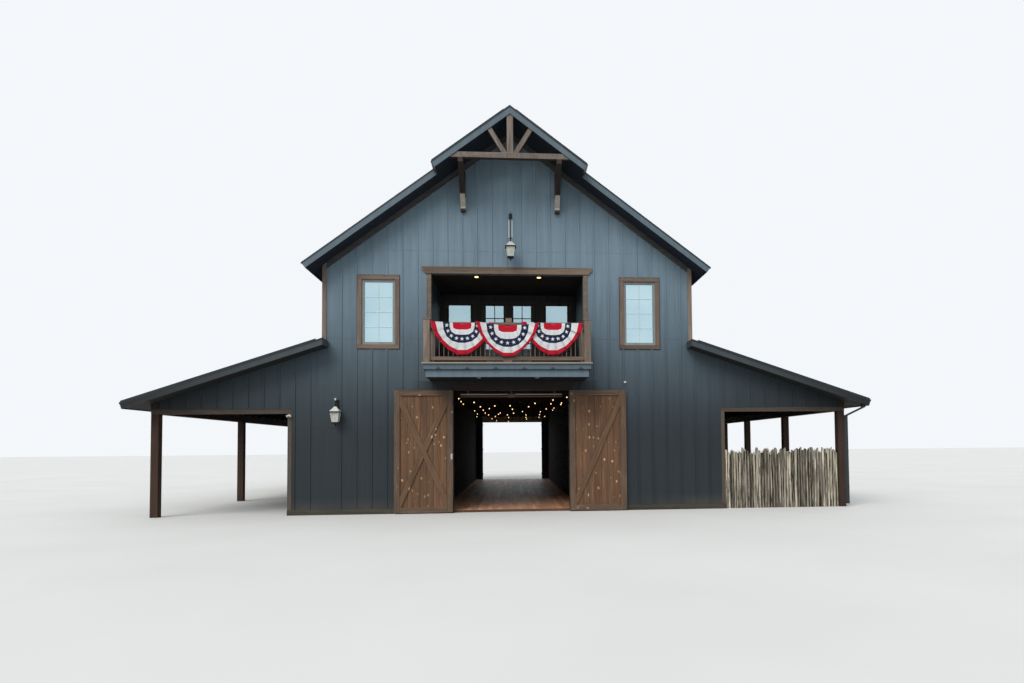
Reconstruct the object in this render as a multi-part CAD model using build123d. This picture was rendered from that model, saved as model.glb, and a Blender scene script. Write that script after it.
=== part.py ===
"""Two-storey board-and-batten barn with side porches, a balcony and a pair of swing doors.

Millimetres. +Z is up, the front faces -Y, and the origin is on the ground under the middle.
"""
from build123d import *
import math
import os

os.makedirs("parts", exist_ok=True)

# Main block, measured over the siding
MAIN_WIDTH = 10160.0
DEPTH = 18290.0
WALL = 150.0

# Heights, from the ground up: each storey stands on the one below
FLOOR_TOP = 60.0
DOORWAY_HEIGHT = 3345.0
LINTEL_HEIGHT = 625.0
UPPER_HEAD_HEIGHT = 2595.0
PLATE_RISE = 211.0
UPPER_FLOOR_THICKNESS = 300.0

# Main roof: a 9 in 12 pitch, with square-cut eaves and a hood over the middle of the front
MAIN_SLOPE = 9 / 12
ROOF_THICKNESS = 160.0
EAVE_OVERHANG = 410.0
RAKE_OVERHANG = 610.0
HOOD_HALF_WIDTH = 2060.0
HOOD_REACH = 1120.0
FASCIA_THICKNESS = 25.0
FASCIA_DROP = 15.0
RIDGE_CAP_WING = 170.0
RIDGE_CAP_THICKNESS = 12.0

# Porch roofs: a 4 in 12 pitch against both sides of the main block
PORCH_SLOPE = 4 / 12
PORCH_TOP_RISE = 664.0
PORCH_REACH = 4900.0
PORCH_ROOF_THICKNESS = 160.0
PORCH_RAKE_OVERHANG = 600.0
PORCH_RETURN = 150.0

# Porch frame
POST_SIZE = 290.0
INNER_POST_SIZE = 200.0
POST_INSET = 480.0
END_GABLE_HEEL = 120.0
BEAM_HEIGHT = 150.0
SIDE_BEAM_WIDTH = 200.0
WING_WIDTH = 810.0
JAMB_POST_WIDTH = 100.0
LEFT_POST_PLACES = [5525.0]
RIGHT_POST_PLACES = [3780.0, 7560.0]

# Corridor through the ground floor
CORRIDOR_WIDTH = 3900.0
CORRIDOR_WALL = 120.0

# Doorways and their doors
DOORWAY_WIDTH = 3170.0
HEADER_HEIGHT = 200.0
HEADER_LENGTH = 3300.0
DOOR_GROUND_GAP = 20.0
DOOR_HEAD_GAP = 12.0
DOOR_HINGE_GAP = 10.0
DOOR_MEETING_GAP = 12.0
DOOR_PLANKS = 38.0
DOOR_FRAME = 32.0
DOOR_BOARD_WIDTH = 150.0
HINGE_PIN_OFFSET = 28.0
HINGE_PIN_RADIUS = 9.0
HINGE_PIN_CLEARANCE = 0.3
HINGE_BARREL_WALL = 7.0
HINGE_BARREL_HEIGHT = 70.0
HINGE_PLATE = 6.0
STRAP_LENGTH = 900.0
STRAP_HEIGHT = 50.0
HINGE_INSET = 330.0

# Windows
WINDOW_WIDTH = 1130.0
WINDOW_HEIGHT = 2020.0
WINDOW_HEAD_DROP = 62.0
FRONT_WINDOW_X = 3605.0
REAR_MIDDLE_WINDOW_X = 1210.0
SIDE_WINDOW_SILL = 820.0
SIDE_WINDOWS = 3
CASING_WIDTH = 115.0
CASING_THICKNESS = 28.0
SASH_WIDTH = 62.0
SASH_DEPTH = 70.0
SASH_SETBACK = 20.0
PANE_THICKNESS = 20.0

# Balcony
BALCONY_CENTRE = -85.0
BALCONY_OPENING = 4200.0
BALCONY_WIDTH = 4330.0
BALCONY_REACH = 1180.0
BALCONY_DEPTH = 2400.0
DECK_THICKNESS = 36.0
DECK_NOSING = 40.0
UPPER_RIM_HEIGHT = 152.0
LOWER_RIM_HEIGHT = 190.0
LOWER_RIM_SETBACK = 55.0
RECESS_WALL = 100.0
CEILING_BOARD = 50.0
BALCONY_HEADER_LENGTH = 4710.0
BALCONY_HEADER_HEIGHT = 190.0
BALCONY_HEADER_BEVEL = 110.0
BALCONY_TRIM_WIDTH = 120.0
NEWEL_SIZE = 165.0
NEWEL_HEIGHT = 1135.0
RAIL_HEIGHT = 1045.0
RAIL_SIZE = 70.0
BOTTOM_RAIL_GAP = 56.0
BOTTOM_RAIL_HEIGHT = 98.0
RAIL_BLOCK_WIDTH = 230.0
BALUSTER_SIZE = 18.0
BALUSTER_PITCH = 115.0

# French doors and windows at the back of the balcony
FRENCH_LEAF_WIDTH = 860.0
FRENCH_HEAD_DROP = 320.0
FRENCH_STILE = 130.0
FRENCH_BOTTOM_RAIL = 260.0
FRENCH_THICKNESS = 50.0
RECESS_WINDOW_X = 1520.0
RECESS_WINDOW_WIDTH = 790.0
RECESS_WINDOW_HEIGHT = 1370.0

# Truss in the hood
TRUSS_THICKNESS = 140.0
TIE_DROP = 1405.0
TIE_HEIGHT = 145.0
KING_POST_WIDTH = 165.0
STRUT_WIDTH = 120.0
STRUT_FOOT = 150.0
STRUT_HEAD = 545.0
BRACKET_X = 1300.0
BRACKET_WIDTH = 130.0
BRACKET_HEIGHT = 1100.0
BRACKET_TIMBER = 120.0

# Boards on the siding
TRIM_THICKNESS = 22.0
CORNER_BOARD_WIDTH = 95.0
BASE_BOARD_HEIGHT = 140.0
FRIEZE_WIDTH = 140.0

# Lanterns
LANTERN_WIDTH = 280.0
LANTERN_HEIGHT = 520.0
LANTERN_REACH = 330.0
GABLE_LANTERN_RISE = 815.0
GABLE_HOOK_LENGTH = 890.0
GABLE_PLATE_HEIGHT = 150.0
WALL_LANTERN_INSET = 390.0
WALL_LANTERN_DROP = 455.0
WALL_HOOK_LENGTH = 160.0
WALL_PLATE_HEIGHT = 300.0
LANTERN_BACKPLATE = 20.0

# Stake screen in the first bay of the right porch
STAKE_DIAMETER = 82.0
STAKE_HEIGHT = 1680.0
STAKE_VARIATION = 45.0
STAKE_RAIL_HEIGHT = 60.0
STAKE_RAIL_DEPTH = 40.0

# Half-round cloth fans on the balcony rail
FAN_RADIUS = 820.0
FAN_DROP = 880.0
FAN_THICKNESS = 14.0
FAN_NEWEL_GAP = 6.0
FAN_GAP = 0.3

# Downspout on the front corner post of the right porch, with an elbow out to the eave
DOWNSPOUT_WIDTH = 100.0
DOWNSPOUT_DEPTH = 75.0
DOWNSPOUT_GROUND_GAP = 80.0
ELBOW_DROP = 140.0
ELBOW_LEG = 60.0
ELBOW_EAVE_INSET = 150.0
ELBOW_REACH = 450.0

HALF = MAIN_WIDTH / 2
UPPER_FLOOR_TOP = DOORWAY_HEIGHT + LINTEL_HEIGHT
BALCONY_HEAD = UPPER_FLOOR_TOP + UPPER_HEAD_HEIGHT
FRONT_REACH = max(HOOD_REACH, BALCONY_REACH + DECK_NOSING)
Y_FRONT = (FRONT_REACH - RAKE_OVERHANG - DEPTH) / 2
Y_REAR = Y_FRONT + DEPTH
MAIN_ANGLE = math.atan(MAIN_SLOPE)
PORCH_ANGLE = math.atan(PORCH_SLOPE)
PLATE_HEIGHT = BALCONY_HEAD + PLATE_RISE
RIDGE_HEIGHT = PLATE_HEIGHT + MAIN_SLOPE * HALF + ROOF_THICKNESS / math.cos(MAIN_ANGLE)
EAVE_X = HALF + EAVE_OVERHANG
PORCH_TOP = UPPER_FLOOR_TOP + PORCH_TOP_RISE
POST_X = HALF + PORCH_REACH - POST_INSET - POST_SIZE / 2
WING_X = HALF + WING_WIDTH
WINDOW_SILL = BALCONY_HEAD - WINDOW_HEAD_DROP - WINDOW_HEIGHT
FRENCH_HEAD = BALCONY_HEAD - FRENCH_HEAD_DROP
RECESS_WINDOW_SILL = FRENCH_HEAD - RECESS_WINDOW_HEIGHT
TIE_UNDERSIDE = RIDGE_HEIGHT - TIE_DROP
GABLE_LANTERN_TOP = BALCONY_HEAD + GABLE_LANTERN_RISE
GABLE_ARM_TOP = GABLE_LANTERN_TOP + GABLE_HOOK_LENGTH
WALL_LANTERN_TOP = DOORWAY_HEIGHT - WALL_LANTERN_DROP
WALL_LANTERN_X = HALF - WALL_LANTERN_INSET


def main_underside(x):
    """Height of the main soffit at a distance x from the middle."""
    return RIDGE_HEIGHT - ROOF_THICKNESS / math.cos(MAIN_ANGLE) - MAIN_SLOPE * abs(x)


def porch_underside(x):
    """Height of the porch soffit at a distance x from the middle."""
    drop = PORCH_SLOPE * (abs(x) - HALF)
    return PORCH_TOP - PORCH_ROOF_THICKNESS / math.cos(PORCH_ANGLE) - drop


BEAM_UNDERSIDE = porch_underside(POST_X + POST_SIZE / 2) - END_GABLE_HEEL - BEAM_HEIGHT


def block(x0, x1, y0, y1, z0, z1):
    """Box between two corners."""
    size = Box(x1 - x0, y1 - y0, z1 - z0, align=(Align.MIN, Align.MIN, Align.MIN))
    return Pos(x0, y0, z0) * size


def prism_y(points, y0, y1):
    """Outline in X and Z, extruded along Y."""
    wire = Polyline([(x, y0, z) for x, z in points], close=True)
    return extrude(make_face(wire), amount=y1 - y0, dir=(0, 1, 0))


def prism_x(points, x0, x1):
    """Outline in Y and Z, extruded along X."""
    wire = Polyline([(x0, y, z) for y, z in points], close=True)
    return extrude(make_face(wire), amount=x1 - x0, dir=(1, 0, 0))


def left_right(solid):
    """The solid and its mirror image across the middle."""
    return [mirror(solid, about=Plane.YZ), solid]


def at_rear(shape):
    """The shape, turned from the front wall to the rear wall."""
    middle = (Y_FRONT + Y_REAR) / 2
    return mirror(shape, about=Plane.XZ.offset(-middle))


def save(node, solids):
    """Write one node."""
    shapes = solids if isinstance(solids, list) else [solids]
    export_step(Compound(shapes), f"parts/{node}.step")


# Walls


def window_hole(x, sill, width=WINDOW_WIDTH, height=WINDOW_HEIGHT):
    """Cutter for a window whose casing laps the wall on every side."""
    side = width / 2 - CASING_WIDTH
    return block(x - side, x + side, -WALL, 2 * WALL, sill + CASING_WIDTH,
                 sill + height - CASING_WIDTH)


def lower_walls():
    """Wall panels on both sides of a doorway, at the front."""
    return left_right(block(DOORWAY_WIDTH / 2, HALF, Y_FRONT, Y_FRONT + WALL, 0, DOORWAY_HEIGHT))


def front_upper_walls():
    """Wall panels with one window each, on both sides of the balcony."""
    opening_left = BALCONY_CENTRE - BALCONY_OPENING / 2
    opening_right = BALCONY_CENTRE + BALCONY_OPENING / 2
    spans = [(-HALF, opening_left, -FRONT_WINDOW_X), (opening_right, HALF, FRONT_WINDOW_X)]
    panels = []
    for x0, x1, window_x in spans:
        panel = block(x0, x1, Y_FRONT, Y_FRONT + WALL, DOORWAY_HEIGHT, BALCONY_HEAD)
        panels.append(panel - Pos(0, Y_FRONT, 0) * window_hole(window_x, WINDOW_SILL))
    return panels


def front_wall_over_door():
    """Wall between the doorway and the balcony floor."""
    return block(BALCONY_CENTRE - BALCONY_OPENING / 2, BALCONY_CENTRE + BALCONY_OPENING / 2,
                 Y_FRONT, Y_FRONT + WALL, DOORWAY_HEIGHT, UPPER_FLOOR_TOP)


def gable():
    """Wall above the upper windows, up to the soffit, at the front."""
    outline = [(-HALF, BALCONY_HEAD), (HALF, BALCONY_HEAD), (HALF, main_underside(HALF)),
               (0, main_underside(0)), (-HALF, main_underside(HALF))]
    return prism_y(outline, Y_FRONT, Y_FRONT + WALL)


def rear_upper_wall():
    """Upper wall at the rear with four windows in a row."""
    panel = block(-HALF, HALF, Y_FRONT, Y_FRONT + WALL, DOORWAY_HEIGHT, BALCONY_HEAD)
    for x in REAR_WINDOW_POSITIONS:
        panel -= Pos(0, Y_FRONT, 0) * window_hole(x, WINDOW_SILL)
    return at_rear(panel)


REAR_WINDOW_POSITIONS = [-FRONT_WINDOW_X, -REAR_MIDDLE_WINDOW_X, REAR_MIDDLE_WINDOW_X,
                         FRONT_WINDOW_X]
SIDE_WINDOW_POSITIONS = [Y_FRONT + DEPTH * (n + 0.5) / SIDE_WINDOWS for n in range(SIDE_WINDOWS)]


def on_right(shape, y):
    """A shape made for the front wall, turned to the right side wall at y."""
    return Pos(HALF, y, 0) * Rot(0, 0, 90) * shape


def side_wall():
    """Right side wall with its row of windows and its top cut to the soffit."""
    outline = [(HALF - WALL, 0), (HALF, 0), (HALF, main_underside(HALF)),
               (HALF - WALL, main_underside(HALF - WALL))]
    wall = prism_y(outline, Y_FRONT + WALL, Y_REAR - WALL)
    for y in SIDE_WINDOW_POSITIONS:
        wall -= on_right(window_hole(0, SIDE_WINDOW_SILL), y)
    return wall


def porch_wing_walls():
    """Narrow walls that carry the siding past the corners of the main block."""
    outline = [(HALF, 0), (WING_X, 0), (WING_X, porch_underside(WING_X)),
               (HALF, porch_underside(HALF))]
    fronts = left_right(prism_y(outline, Y_FRONT, Y_FRONT + WALL))
    return fronts + [at_rear(wall) for wall in fronts]


def porch_end_gables():
    """Siding between the end beams of the porches and their roofs."""
    outer = POST_X + POST_SIZE / 2
    beam_top = BEAM_UNDERSIDE + BEAM_HEIGHT
    outline = [(WING_X, beam_top), (outer, beam_top), (outer, porch_underside(outer)),
               (WING_X, porch_underside(WING_X))]
    fronts = left_right(prism_y(outline, Y_FRONT, Y_FRONT + WALL))
    return fronts + [at_rear(wall) for wall in fronts]


save("front_lower_walls", lower_walls())
save("front_upper_walls", front_upper_walls())
save("front_wall_over_door", front_wall_over_door())
save("gable_walls", [gable(), at_rear(gable())])
save("rear_lower_walls", [at_rear(wall) for wall in lower_walls()])
save("rear_upper_wall", rear_upper_wall())
save("side_walls", left_right(side_wall()))
save("porch_wing_walls", porch_wing_walls())
save("porch_end_gables", porch_end_gables())


# Porch frame


def porch_jamb_posts():
    """Slim posts that end the wing walls and carry the end beams."""
    post = block(WING_X, WING_X + JAMB_POST_WIDTH, Y_FRONT, Y_FRONT + WALL, 0, BEAM_UNDERSIDE)
    fronts = left_right(post)
    return fronts + [at_rear(each) for each in fronts]


def porch_posts():
    """Square posts along the outside of each porch, stout at the corners and slim between them.

    The slim posts stand at the listed distances from the corner posts at both ends.
    """
    posts = []
    span = DEPTH - POST_SIZE
    for side, places in ((-1, LEFT_POST_PLACES), (1, RIGHT_POST_PLACES)):
        row = [(0, POST_SIZE), (span, POST_SIZE)]
        row += [(along, INNER_POST_SIZE) for place in places for along in (place, span - place)]
        for along, size in row:
            x = side * POST_X
            y = Y_FRONT + POST_SIZE / 2 + along
            posts.append(block(x - size / 2, x + size / 2, y - size / 2, y + size / 2,
                               0, BEAM_UNDERSIDE))
    return posts


def porch_end_beams():
    """Beams across the ends of the porches, under the siding."""
    outer = POST_X + POST_SIZE / 2
    beam = block(WING_X, outer, Y_FRONT, Y_FRONT + WALL, BEAM_UNDERSIDE,
                 BEAM_UNDERSIDE + BEAM_HEIGHT)
    fronts = left_right(beam)
    return fronts + [at_rear(each) for each in fronts]


def porch_side_beams():
    """Beams along the posts, with their tops cut to the porch soffit."""
    x0 = POST_X - SIDE_BEAM_WIDTH / 2
    x1 = POST_X + SIDE_BEAM_WIDTH / 2
    outline = [(x0, BEAM_UNDERSIDE), (x1, BEAM_UNDERSIDE), (x1, porch_underside(x1)),
               (x0, porch_underside(x0))]
    return left_right(prism_y(outline, Y_FRONT + WALL, Y_REAR - WALL))


save("porch_jamb_posts", porch_jamb_posts())
save("porch_posts", porch_posts())
save("porch_end_beams", porch_end_beams())
save("porch_side_beams", porch_side_beams())


# Floors and the corridor


def ground_floor():
    """Floor inside the walls, with a tongue through each doorway."""
    inside = HALF - WALL
    floor = block(-inside, inside, Y_FRONT + WALL, Y_REAR - WALL, 0, FLOOR_TOP)
    behind_door = Y_FRONT + DOOR_PLANKS + DOOR_FRAME + DOOR_HINGE_GAP
    tongue = block(-DOORWAY_WIDTH / 2, DOORWAY_WIDTH / 2, behind_door, Y_FRONT + WALL,
                   0, FLOOR_TOP)
    return floor + tongue + at_rear(tongue)


def upper_floor():
    """Floor of the upper storey, which is also the corridor's ceiling."""
    inside = HALF - WALL
    return block(-inside, inside, Y_FRONT + WALL, Y_REAR - WALL,
                 UPPER_FLOOR_TOP - UPPER_FLOOR_THICKNESS, UPPER_FLOOR_TOP)


def corridor_walls():
    """Walls on both sides of the corridor that runs through the barn."""
    inner = CORRIDOR_WIDTH / 2
    return left_right(block(inner, inner + CORRIDOR_WALL, Y_FRONT + WALL, Y_REAR - WALL,
                            FLOOR_TOP, UPPER_FLOOR_TOP - UPPER_FLOOR_THICKNESS))


save("ground_floor", ground_floor())
save("upper_floor", upper_floor())
save("corridor_walls", corridor_walls())


# Roofs


def roof_outline(top_x, top_z, eave_x, slope, thickness, drop=0.0, lift=0.0, trim=0.0):
    """Half roof in section, with its eave cut square to the slope."""
    angle = math.atan(slope)
    along = (math.cos(angle), -math.sin(angle))
    down = (-math.sin(angle), -math.cos(angle))
    eave = (eave_x - trim * along[0], top_z - slope * (eave_x - top_x) - trim * along[1])
    vertical = (thickness + drop) / math.cos(angle)
    rise = lift / math.cos(angle)
    top = (top_x, top_z + rise)
    eave_top = (eave[0] - lift * down[0], eave[1] - lift * down[1])
    eave_low = (eave[0] + (thickness + drop) * down[0], eave[1] + (thickness + drop) * down[1])
    return [top, eave_top, eave_low, (top_x, top_z - vertical)]


def main_roof_body(inset, drop=0.0, lift=0.0):
    """Right half of the main roof and hood, drawn in from every edge by inset."""
    main = roof_outline(0, RIDGE_HEIGHT, EAVE_X, MAIN_SLOPE, ROOF_THICKNESS, drop, lift, inset)
    body = prism_y(main, Y_FRONT - RAKE_OVERHANG + inset, Y_REAR + RAKE_OVERHANG - inset)
    hood = roof_outline(0, RIDGE_HEIGHT, HOOD_HALF_WIDTH, MAIN_SLOPE, ROOF_THICKNESS, drop,
                        lift, inset)
    return body + prism_y(hood, Y_FRONT - HOOD_REACH + inset, Y_FRONT)


def porch_roof_body(inset, drop=0.0, lift=0.0):
    """Right porch roof, drawn in from its free edges by inset.

    Its overhangs run a little past the corners of the main block, over the corner boards.
    """
    def strip(top_x, y0, y1):
        top_z = PORCH_TOP + PORCH_SLOPE * (HALF - top_x)
        return prism_y(roof_outline(top_x, top_z, HALF + PORCH_REACH, PORCH_SLOPE,
                                    PORCH_ROOF_THICKNESS, drop, lift, inset), y0, y1)

    inner = HALF - PORCH_RETURN + inset
    front = Y_FRONT - TRIM_THICKNESS
    rear = Y_REAR + TRIM_THICKNESS
    overhang = PORCH_RAKE_OVERHANG - inset
    return (strip(HALF, front, rear) + strip(inner, Y_FRONT - overhang, front)
            + strip(inner, rear, Y_REAR + overhang))


def fascia(body):
    """Boards along the free edges of a roof, hanging a little below its soffit."""
    cutter_margin = FASCIA_THICKNESS
    return body(0.0, FASCIA_DROP) - body(FASCIA_THICKNESS, FASCIA_DROP + cutter_margin,
                                         cutter_margin)


def ridge_cap():
    """Folded cap over the ridge, from the hood to the rear edge."""
    wing = RIDGE_CAP_WING
    lift = RIDGE_CAP_THICKNESS / math.cos(MAIN_ANGLE)
    fall = MAIN_SLOPE * wing
    outline = [(0, RIDGE_HEIGHT + lift), (wing, RIDGE_HEIGHT + lift - fall),
               (wing, RIDGE_HEIGHT - fall), (0, RIDGE_HEIGHT), (-wing, RIDGE_HEIGHT - fall),
               (-wing, RIDGE_HEIGHT + lift - fall)]
    return prism_y(outline, Y_FRONT - HOOD_REACH, Y_REAR + RAKE_OVERHANG)


main_roof = main_roof_body(FASCIA_THICKNESS)
main_fascia = fascia(main_roof_body)
porch_roof = porch_roof_body(FASCIA_THICKNESS)
porch_fascia = fascia(porch_roof_body)
save("main_roof_right", main_roof)
save("main_roof_left", mirror(main_roof, about=Plane.YZ))
save("main_fascia_right", main_fascia)
save("main_fascia_left", mirror(main_fascia, about=Plane.YZ))
save("ridge_cap", ridge_cap())
save("porch_roofs", left_right(porch_roof))
save("porch_fascias", left_right(porch_fascia))


# Truss and brackets under the hood


def hood_truss():
    """King-post truss just behind the hood's fascia, with its ends cut to the soffit."""
    y1 = Y_FRONT - HOOD_REACH + FASCIA_THICKNESS + TRUSS_THICKNESS
    y0 = y1 - TRUSS_THICKNESS
    tie_top = TIE_UNDERSIDE + TIE_HEIGHT
    soffit = main_underside(0)
    reach_low = (soffit - TIE_UNDERSIDE) / MAIN_SLOPE
    reach_top = (soffit - tie_top) / MAIN_SLOPE
    tie = prism_y([(-reach_low, TIE_UNDERSIDE), (reach_low, TIE_UNDERSIDE),
                   (reach_top, tie_top), (-reach_top, tie_top)], y0, y1)
    half = KING_POST_WIDTH / 2
    king = prism_y([(-half, tie_top), (half, tie_top), (half, main_underside(half)),
                    (0, soffit), (-half, main_underside(half))], y0, y1)
    head = (STRUT_HEAD, main_underside(STRUT_HEAD))
    foot = (STRUT_FOOT, tie_top)
    length = math.hypot(head[0] - foot[0], head[1] - foot[1])
    side = ((head[1] - foot[1]) / length * STRUT_WIDTH / 2,
            -(head[0] - foot[0]) / length * STRUT_WIDTH / 2)
    run = ((head[0] - foot[0]) / length * STRUT_WIDTH, (head[1] - foot[1]) / length * STRUT_WIDTH)
    strut = prism_y([(foot[0] - side[0] - run[0], foot[1] - side[1] - run[1]),
                     (foot[0] + side[0] - run[0], foot[1] + side[1] - run[1]),
                     (head[0] + side[0] + run[0], head[1] + side[1] + run[1]),
                     (head[0] - side[0] + run[0], head[1] - side[1] + run[1])], y0, y1)
    inside = prism_y([(-reach_top, tie_top), (reach_top, tie_top), (0, soffit)], y0, y1)
    strut = strut & inside
    return tie + king + strut + mirror(strut, about=Plane.YZ)


def hood_bracket():
    """Knee bracket from the wall to the truss: post, arm and diagonal in one frame."""
    back = Y_FRONT
    front = Y_FRONT - HOOD_REACH + FASCIA_THICKNESS
    top = TIE_UNDERSIDE
    low = TIE_UNDERSIDE - BRACKET_HEIGHT
    timber = BRACKET_TIMBER
    post = prism_x([(back - timber, low), (back, low), (back, top), (back - timber, top)],
                   -BRACKET_WIDTH / 2, BRACKET_WIDTH / 2)
    arm = prism_x([(front, top - timber), (back - timber, top - timber),
                   (back - timber, top), (front, top)], -BRACKET_WIDTH / 2, BRACKET_WIDTH / 2)
    rise = timber * 1.5
    diagonal = prism_x([(back - timber, low + timber), (back - timber, low + timber + rise),
                        (front + rise, top - timber), (front, top - timber)],
                       -BRACKET_WIDTH / 2, BRACKET_WIDTH / 2)
    return Pos(BRACKET_X, 0, 0) * (post + arm + diagonal)


save("hood_truss", hood_truss())
save("hood_brackets", left_right(hood_bracket()))


# Boards on the siding


def corner_boards():
    """Boards that wrap the corners of the upper storey, above the porch roofs."""
    low = PORCH_TOP
    outer = HALF + TRIM_THICKNESS
    face = block(HALF - CORNER_BOARD_WIDTH, outer, Y_FRONT - TRIM_THICKNESS,
                 Y_FRONT, low, main_underside(outer))
    side = block(HALF, outer, Y_FRONT, Y_FRONT + CORNER_BOARD_WIDTH, low, main_underside(outer))
    fronts = left_right(face + side)
    return fronts + [at_rear(each) for each in fronts]


def base_boards():
    """Boards along the foot of the front and rear walls, beside the doorways."""
    board = block(DOORWAY_WIDTH / 2, WING_X + JAMB_POST_WIDTH, Y_FRONT - TRIM_THICKNESS, Y_FRONT,
                  0, BASE_BOARD_HEIGHT)
    fronts = left_right(board)
    return fronts + [at_rear(each) for each in fronts]


def rake_frieze():
    """Board on the gable, close under the soffit."""
    outer = HALF - CORNER_BOARD_WIDTH
    drop = FRIEZE_WIDTH / math.cos(MAIN_ANGLE)
    outline = [(0, main_underside(0)), (outer, main_underside(outer)),
               (outer, main_underside(outer) - drop), (0, main_underside(0) - drop),
               (-outer, main_underside(outer) - drop), (-outer, main_underside(outer))]
    return prism_y(outline, Y_FRONT - TRIM_THICKNESS, Y_FRONT)


def door_header():
    """Board over a doorway."""
    return block(-HEADER_LENGTH / 2, HEADER_LENGTH / 2, Y_FRONT - TRIM_THICKNESS, Y_FRONT,
                 DOORWAY_HEIGHT, DOORWAY_HEIGHT + HEADER_HEIGHT)


save("corner_boards", corner_boards())
save("base_boards", base_boards())
save("rake_friezes", [rake_frieze(), at_rear(rake_frieze())])
save("door_headers", [door_header(), at_rear(door_header())])


# Windows


def ring(width, height, border, y0, y1):
    """Upright rectangular ring, centred in X, standing on z = 0."""
    outer = block(-width / 2, width / 2, y0, y1, 0, height)
    return outer - block(-width / 2 + border, width / 2 - border, y0, y1, border,
                         height - border)


def window_parts(width=WINDOW_WIDTH, height=WINDOW_HEIGHT):
    """Casing, sash and pane of one window, for a wall whose face is y = 0."""
    casing = ring(width, height, CASING_WIDTH, -CASING_THICKNESS, 0)
    sash_width = width - 2 * CASING_WIDTH
    sash_height = height - 2 * CASING_WIDTH
    sash = Pos(0, 0, CASING_WIDTH) * ring(sash_width, sash_height, SASH_WIDTH, SASH_SETBACK,
                                          SASH_SETBACK + SASH_DEPTH)
    pane_y = SASH_SETBACK + (SASH_DEPTH - PANE_THICKNESS) / 2
    border = CASING_WIDTH + SASH_WIDTH
    pane = block(-width / 2 + border, width / 2 - border, pane_y, pane_y + PANE_THICKNESS,
                 border, height - border)
    return [casing, sash, pane]


front_places = [Pos(x, Y_FRONT, WINDOW_SILL) for x in (-FRONT_WINDOW_X, FRONT_WINDOW_X)]
rear_places = [Pos(x, Y_REAR, WINDOW_SILL) * Rot(0, 0, 180) for x in REAR_WINDOW_POSITIONS]
side_places = [Pos(side * HALF, y, SIDE_WINDOW_SILL) * Rot(0, 0, side * 90)
               for side in (-1, 1) for y in SIDE_WINDOW_POSITIONS]
window_places = front_places + rear_places + side_places
casings, sashes, panes = ([place * piece for place in window_places] for piece in window_parts())
save("window_casings", casings)
save("window_sashes", sashes)


# Balcony


def balcony_deck():
    """Deck boards of the platform, nosed over its rim."""
    half = BALCONY_WIDTH / 2 + DECK_NOSING
    return block(BALCONY_CENTRE - half, BALCONY_CENTRE + half,
                 Y_FRONT - BALCONY_REACH - DECK_NOSING, Y_FRONT,
                 UPPER_FLOOR_TOP - DECK_THICKNESS, UPPER_FLOOR_TOP)


def balcony_rim():
    """Two tiers of rim boards round the platform's joists, the lower one set back."""
    top = UPPER_FLOOR_TOP - DECK_THICKNESS
    middle = top - UPPER_RIM_HEIGHT
    half = BALCONY_WIDTH / 2
    upper = block(BALCONY_CENTRE - half, BALCONY_CENTRE + half, Y_FRONT - BALCONY_REACH, Y_FRONT,
                  middle, top)
    half -= LOWER_RIM_SETBACK
    lower = block(BALCONY_CENTRE - half, BALCONY_CENTRE + half,
                  Y_FRONT - BALCONY_REACH + LOWER_RIM_SETBACK, Y_FRONT,
                  middle - LOWER_RIM_HEIGHT, middle)
    return upper + lower


def balcony_surround():
    """Header with bevelled ends and the two side boards of the opening."""
    half = BALCONY_HEADER_LENGTH / 2
    top = BALCONY_HEAD + BALCONY_HEADER_HEIGHT
    bevel = BALCONY_HEADER_BEVEL
    header = prism_y([(-half + bevel, BALCONY_HEAD), (half - bevel, BALCONY_HEAD),
                      (half, BALCONY_HEAD + bevel), (half, top), (-half, top),
                      (-half, BALCONY_HEAD + bevel)], Y_FRONT - 2 * TRIM_THICKNESS, Y_FRONT)
    side = block(BALCONY_OPENING / 2, BALCONY_OPENING / 2 + BALCONY_TRIM_WIDTH,
                 Y_FRONT - TRIM_THICKNESS, Y_FRONT, UPPER_FLOOR_TOP, BALCONY_HEAD)
    return Pos(BALCONY_CENTRE, 0, 0) * (header + side + mirror(side, about=Plane.YZ))


NEWEL_X = BALCONY_WIDTH / 2 - NEWEL_SIZE / 2
NEWEL_FRONT_Y = Y_FRONT - BALCONY_REACH
NEWEL_WALL_Y = Y_FRONT - 2 * TRIM_THICKNESS - NEWEL_SIZE


def balcony_newels():
    """Square posts at the corners of the platform and at the wall."""
    newels = []
    for side in (-1, 1):
        x0 = BALCONY_CENTRE + side * NEWEL_X - NEWEL_SIZE / 2
        newels.append(block(x0, x0 + NEWEL_SIZE, NEWEL_FRONT_Y, NEWEL_FRONT_Y + NEWEL_SIZE,
                            UPPER_FLOOR_TOP, UPPER_FLOOR_TOP + NEWEL_HEIGHT))
        newels.append(block(x0, x0 + NEWEL_SIZE, NEWEL_WALL_Y, NEWEL_WALL_Y + NEWEL_SIZE,
                            UPPER_FLOOR_TOP, UPPER_FLOOR_TOP + NEWEL_HEIGHT))
    return newels


def railing(length):
    """Top rail, bottom rail and balusters between two posts, along X from x = 0."""
    top = RAIL_HEIGHT
    low = BOTTOM_RAIL_GAP
    half = RAIL_SIZE / 2
    panel = block(0, length, -half, half, top - RAIL_SIZE, top)
    panel += block(0, length, -half, half, low, low + BOTTOM_RAIL_HEIGHT)
    count = int(length / BALUSTER_PITCH)
    for n in range(1, count):
        x = length * n / count
        panel += block(x - BALUSTER_SIZE / 2, x + BALUSTER_SIZE / 2, -BALUSTER_SIZE / 2,
                       BALUSTER_SIZE / 2, low + BOTTOM_RAIL_HEIGHT, top - RAIL_SIZE)
    return panel


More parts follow.
